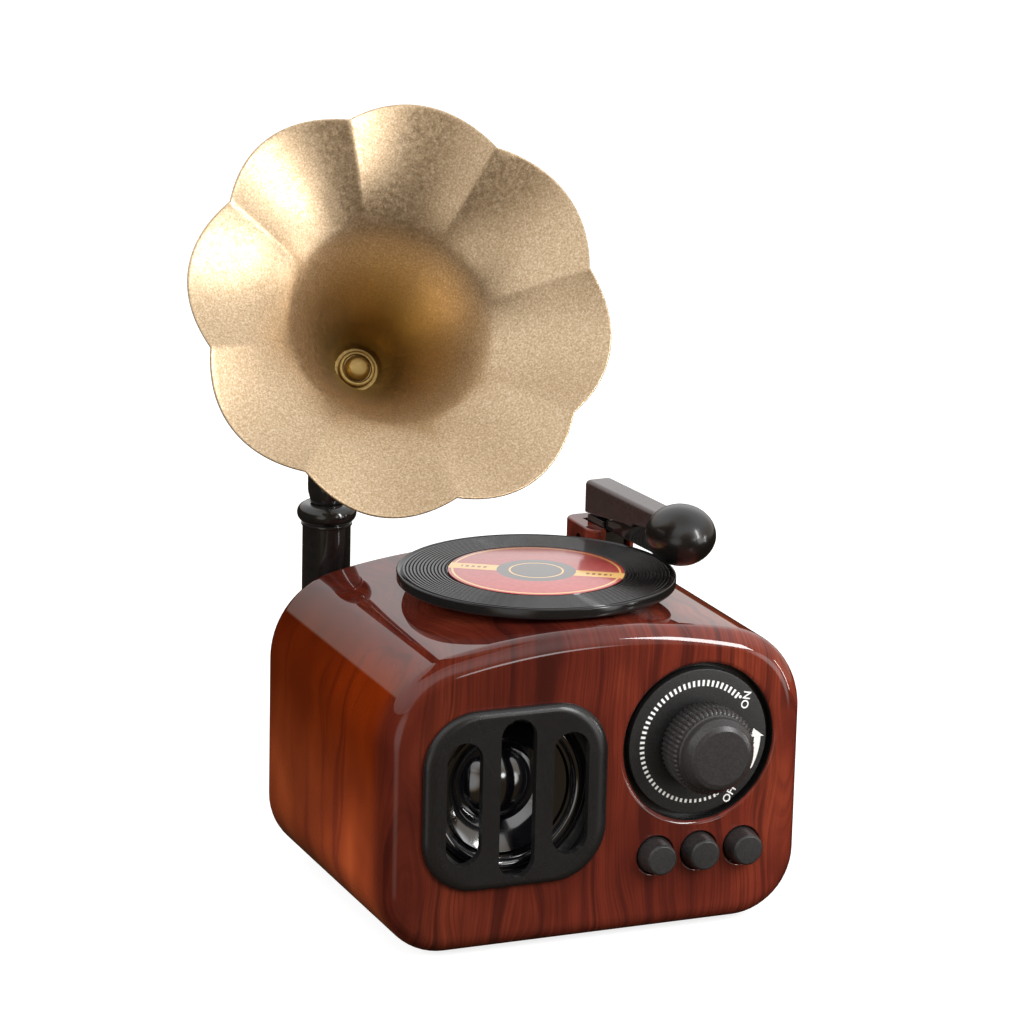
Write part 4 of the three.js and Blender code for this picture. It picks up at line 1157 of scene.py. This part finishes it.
def make_bell():
    inner = [Vector((p.x, MOUTH - p.y)) for p in smooth_line(BELL_LINE, 5)]
    outer = []
    for index, spot in enumerate(inner):
        along = (inner[min(index + 1, len(inner) - 1)] - inner[max(index - 1, 0)]).normalized()
        wall = HORN_WALL - RIM_THINNING * (index / (len(inner) - 1)) ** 2
        outer.append(Vector((spot.x + along.y * wall, spot.y - along.x * wall)))
    rim_mid = (inner[-1] + outer[-1]) / 2
    start = inner[-1] - rim_mid
    rim = [rim_mid + Matrix.Rotation(-math.pi * step / 6, 2) @ start for step in range(1, 6)]
    sleeve = [(6.3, THROAT - 1), (6.3, THROAT - 8), (NECK_RADIUS + GAP, THROAT - 8),
              (NECK_RADIUS + GAP, THROAT - 1), (3.7, THROAT - 1), (3.7, THROAT)]
    sleeve = rounded([(*p, 0.3 if i == 1 else 0) for i, p in enumerate(sleeve)], 3, closed=False)
    profile = [tuple(p) for p in inner + rim + outer[:0:-1]] + sleeve
    segments = PETALS * 40
    rows = []
    for radius, height in profile:
        row = []
        for angle in turns(segments):
            far, high = petal_shift(radius, height, angle)
            turn = angle + math.radians(NOTCH_ANGLE)
            row.append(horn_axes @ Vector((far * math.cos(turn), far * math.sin(turn), high)))
        rows.append(row)
    piece = rows_piece("bell", rows, True, 40)
    place(piece, "horn", "horn_gold", "horn_bell")
    z = THROAT + GAP
    washer = [(1.8, z, 0), (4.1, z, 0.2), (4.2, z + 0.9, 0.35), (3.3, z + 1.0, 0.25), (3.2, z + 0.6, 0.1),
              (1.8, z + 0.6, 0)]
    turned("washer", washer, horn_axes, "horn", "horn_gold", "throat_washer", ring=True, segments=64)
    screw = [(0, z - 7, 0), (1.2, z - 7, 0.2), (1.2, z + 0.9, 0), (2.9, z + 0.9, 0.15),
             (2.85, z + 1.6, 0.4), (2.1, z + 2.45, 0.9), (0, z + 2.7, 0)]
    turned("bell_screw", screw, horn_axes, "horn", "horn_gold", "throat_screw", segments=64)


# ---------------------------------------------------------------- back
def make_cover():
    back = REAR - 0.5
    inner = back - 2.2
    skin = Skin()
    edge = edge_steps(0.5, 3)
    rings = [skin.ring(cabinet_outline(COVER_INSET), inner)]
    rings += [skin.ring(cabinet_outline(COVER_INSET + inset), back - depth)
              for inset, depth in reversed(edge)]
    skin.walls(rings)
    fronts, backs = [], []

    def opening(outline):
        first, second = skin.ring(outline, inner), skin.ring(outline, back)
        skin.wall(first, second)
        fronts.append(first)
        backs.append(second)

    for node in ("charging_socket", "card_slot"):
        mid = centre(node)
        node_low, node_high = box(node)
        size = node_high - node_low
        opening(rounded_rectangle(mid.x, mid.z, size.x + 1, size.z + 1, 0.8, 6))
    vents, vent_step, vent_width, vent_height = 5, 4, 1.8, 12
    for vent in range(vents):
        opening(rounded_rectangle(6 + vent * vent_step, BASE + 53, vent_width, vent_height,
                                  vent_width / 2 - 0.01, 6))
    screw_hole = 1.4
    screws = [f"cover_screw_{index}" for index in (1, 2, 3, 4)]
    for node in screws + ["bracket_screw_1", "bracket_screw_2"]:
        mid = centre(node)
        opening(circle(mid.x, mid.z, screw_hole, 24))
    skin.face(rings[0], *fronts)
    skin.face(rings[-1], *backs)
    piece = even_shading(skin.piece("back_cover"))
    place(piece, "cabinet", "satin_black", "rear_cover")


def make_back_screws():
    """Pan heads with a cross recess, over the plain CAD screws."""
    for index in (1, 2, 3, 4):
        node = f"cover_screw_{index}"
        mid, high = centre(node), box(node)[1].y
        axes = Matrix(((1, 0, 0, mid.x), (0, 0, 1, high), (0, -1, 0, mid.z), (0, 0, 0, 1)))
        profile = rounded([(0, 0, 0), (1.2, 0, 0.5), (2.1, -0.75, 0.4), (2.1, -1.3, 0.1), (1.0, -1.3, 0),
                           (1.0, -11, 0.5), (0, -11.4, 0)], 4, closed=False)
        piece = lathe(f"back_screw_{index}", profile, axes, 40)
        for turn in (0, 90):
            arm = Matrix.Rotation(math.radians(turn + 20 * index), 4, "Z")
            cut_block(piece, axes @ arm, (-1.15, -0.2, -0.7), (1.15, 0.2, 0.5))
        piece.data.set_sharp_from_angle(angle=math.radians(32))
        place(piece, "cabinet", "steel", node)


# ---------------------------------------------------------------- CAD nodes that stay
def dress_nodes():
    for part in frame["record"]["subparts"]:
        node = frame["nodes"][part["node"]]
        material = LOOKS[part["material_slot"]]
        if not node.material_slots:
            node.data.materials.append(material)
        for slot in node.material_slots:
            slot.material = material


# ---------------------------------------------------------------- stage, camera and light
def make_stage():
    size = 6.0
    mesh = bpy.data.meshes.new("floor")
    mesh.from_pydata([(-size, -size, 0), (size, -size, 0), (size, size, 0), (-size, size, 0)], [],
                     [(0, 1, 2, 3)])
    floor = add_object("floor", mesh)
    pale, nodes = new_material("pale_floor", (0.35, 0.35, 0.35), 0.8)
    nodes.give(Specular_IOR_Level=0.0, Emission_Color=(1, 1, 1), Emission_Strength=0.8)
    mesh.materials.append(pale)
    floor.visible_glossy = False
    floor.visible_diffuse = False


CAMERA_SPOT = Vector((-0.3665, -0.8454, 0.3340))
CAMERA_AZIMUTH, CAMERA_ELEVATION, CAMERA_ROLL = -23.124, 14.882, 1.385
CAMERA_LENS = 148.63
LIGHT_AIM = Vector((0, 0, 0.08))


def direction(azimuth, elevation):
    """Out from the object. Azimuth 0 is straight in front of it, and positive is to its right."""
    a, e = math.radians(azimuth), math.radians(elevation)
    return Vector((math.sin(a) * math.cos(e), -math.cos(a) * math.cos(e), math.sin(e)))


def make_camera():
    ahead = -direction(CAMERA_AZIMUTH, CAMERA_ELEVATION)
    turn = ahead.to_track_quat("-Z", "Y").to_matrix() @ Matrix.Rotation(math.radians(CAMERA_ROLL), 3, "Z")
    data = bpy.data.cameras.new("camera")
    data.lens = CAMERA_LENS
    data.sensor_width = 36
    camera = add_object("camera", data)
    camera.matrix_world = Matrix.Translation(CAMERA_SPOT) @ turn.to_4x4()
    scene.camera = camera


def softbox(name, azimuth, elevation, distance, width, height, power, shines=True):
    out = direction(azimuth, elevation)
    data = bpy.data.lights.new(name, "AREA")
    data.shape = "RECTANGLE"
    data.size, data.size_y = width, height
    data.energy = power
    light = add_object(name, data)
    light.location = LIGHT_AIM + out * distance
    light.rotation_mode = "QUATERNION"
    light.rotation_quaternion = out.to_track_quat("Z", "Y")
    light.visible_glossy = shines


def make_light():
    """Strips at the right, fills that don't shine, and surroundings with a dark table below them."""
    softbox("key", 35, 21, 1.3, 0.15, 0.70, 6.9)
    softbox("side_strip", 60, -1, 1.3, 0.07, 0.40, 1.6)
    softbox("front_fill", 12, 40, 1.5, 1.3, 0.9, 14.5, shines=False)
    softbox("left_fill", -80, 18, 1.5, 0.9, 0.9, 19, shines=False)
    world = bpy.data.worlds.new("studio")
    scene.world = world
    world.use_nodes = True
    nodes = Nodes(world, "Generated")

    def patch(azimuth, elevation, inner, outer, inside, outside=0.0):
        """A round soft patch of the surroundings, between two angles from its middle."""
        low, high = math.cos(math.radians(outer)), math.cos(math.radians(inner))
        return nodes.span(nodes.along(direction(azimuth, elevation)), low, high, outside, inside)

    def combine(operation, first, *others):
        for other in others:
            first = nodes.math(operation, first, other)
        return first

    above_table = nodes.span(nodes.along(Vector((0.20, 0, 1))), 0.115, 0.150)
    higher = nodes.span(nodes.axis("Z"), 0.15, 0.70, 0.62, 1.15)
    dark_room = patch(-5, 8, 13, 30, 0.13, 1.0)
    overhead = patch(-24, 82, 5, 34, 0.72, 1.0)
    rear_right = patch(150, 8, 12, 40, 1.5, 1.0)
    backdrop = combine("MULTIPLY", above_table, higher, dark_room, overhead, rear_right)
    low_front = patch(0, -15, 20, 80, 0.10, 0.025)
    right_glow = patch(41, -5, 4, 13, 2.8)
    left_glow = patch(-42, -3, 8, 24, 0.9)
    window = patch(19.5, 5, 1.5, 5.5, 6.0)
    light = combine("ADD", backdrop, low_front, right_glow, left_glow, window)
    seen = nodes.tree.nodes.new("ShaderNodeLightPath").outputs["Is Camera Ray"]
    strength = nodes.blend(seen, light, 1.0)
    # The darker the surroundings are, the warmer they are.
    tint = nodes.ramp(strength, [(0, (1.0, 0.70, 0.36)), (1, (1, 1, 1))])
    nodes.give(Strength=strength, Color=tint)
    scene.view_settings.view_transform = "Standard"
    scene.view_settings.look = "None"


make_camera()
make_light()
make_stage()
dress_nodes()
make_cabinet()
make_grille()
make_driver()
make_dial()
make_knob()
make_keys()
make_record()
make_arm()
make_plinth()
make_post()
make_bracket()
make_neck()
make_bell()
make_cover()
make_back_screws()
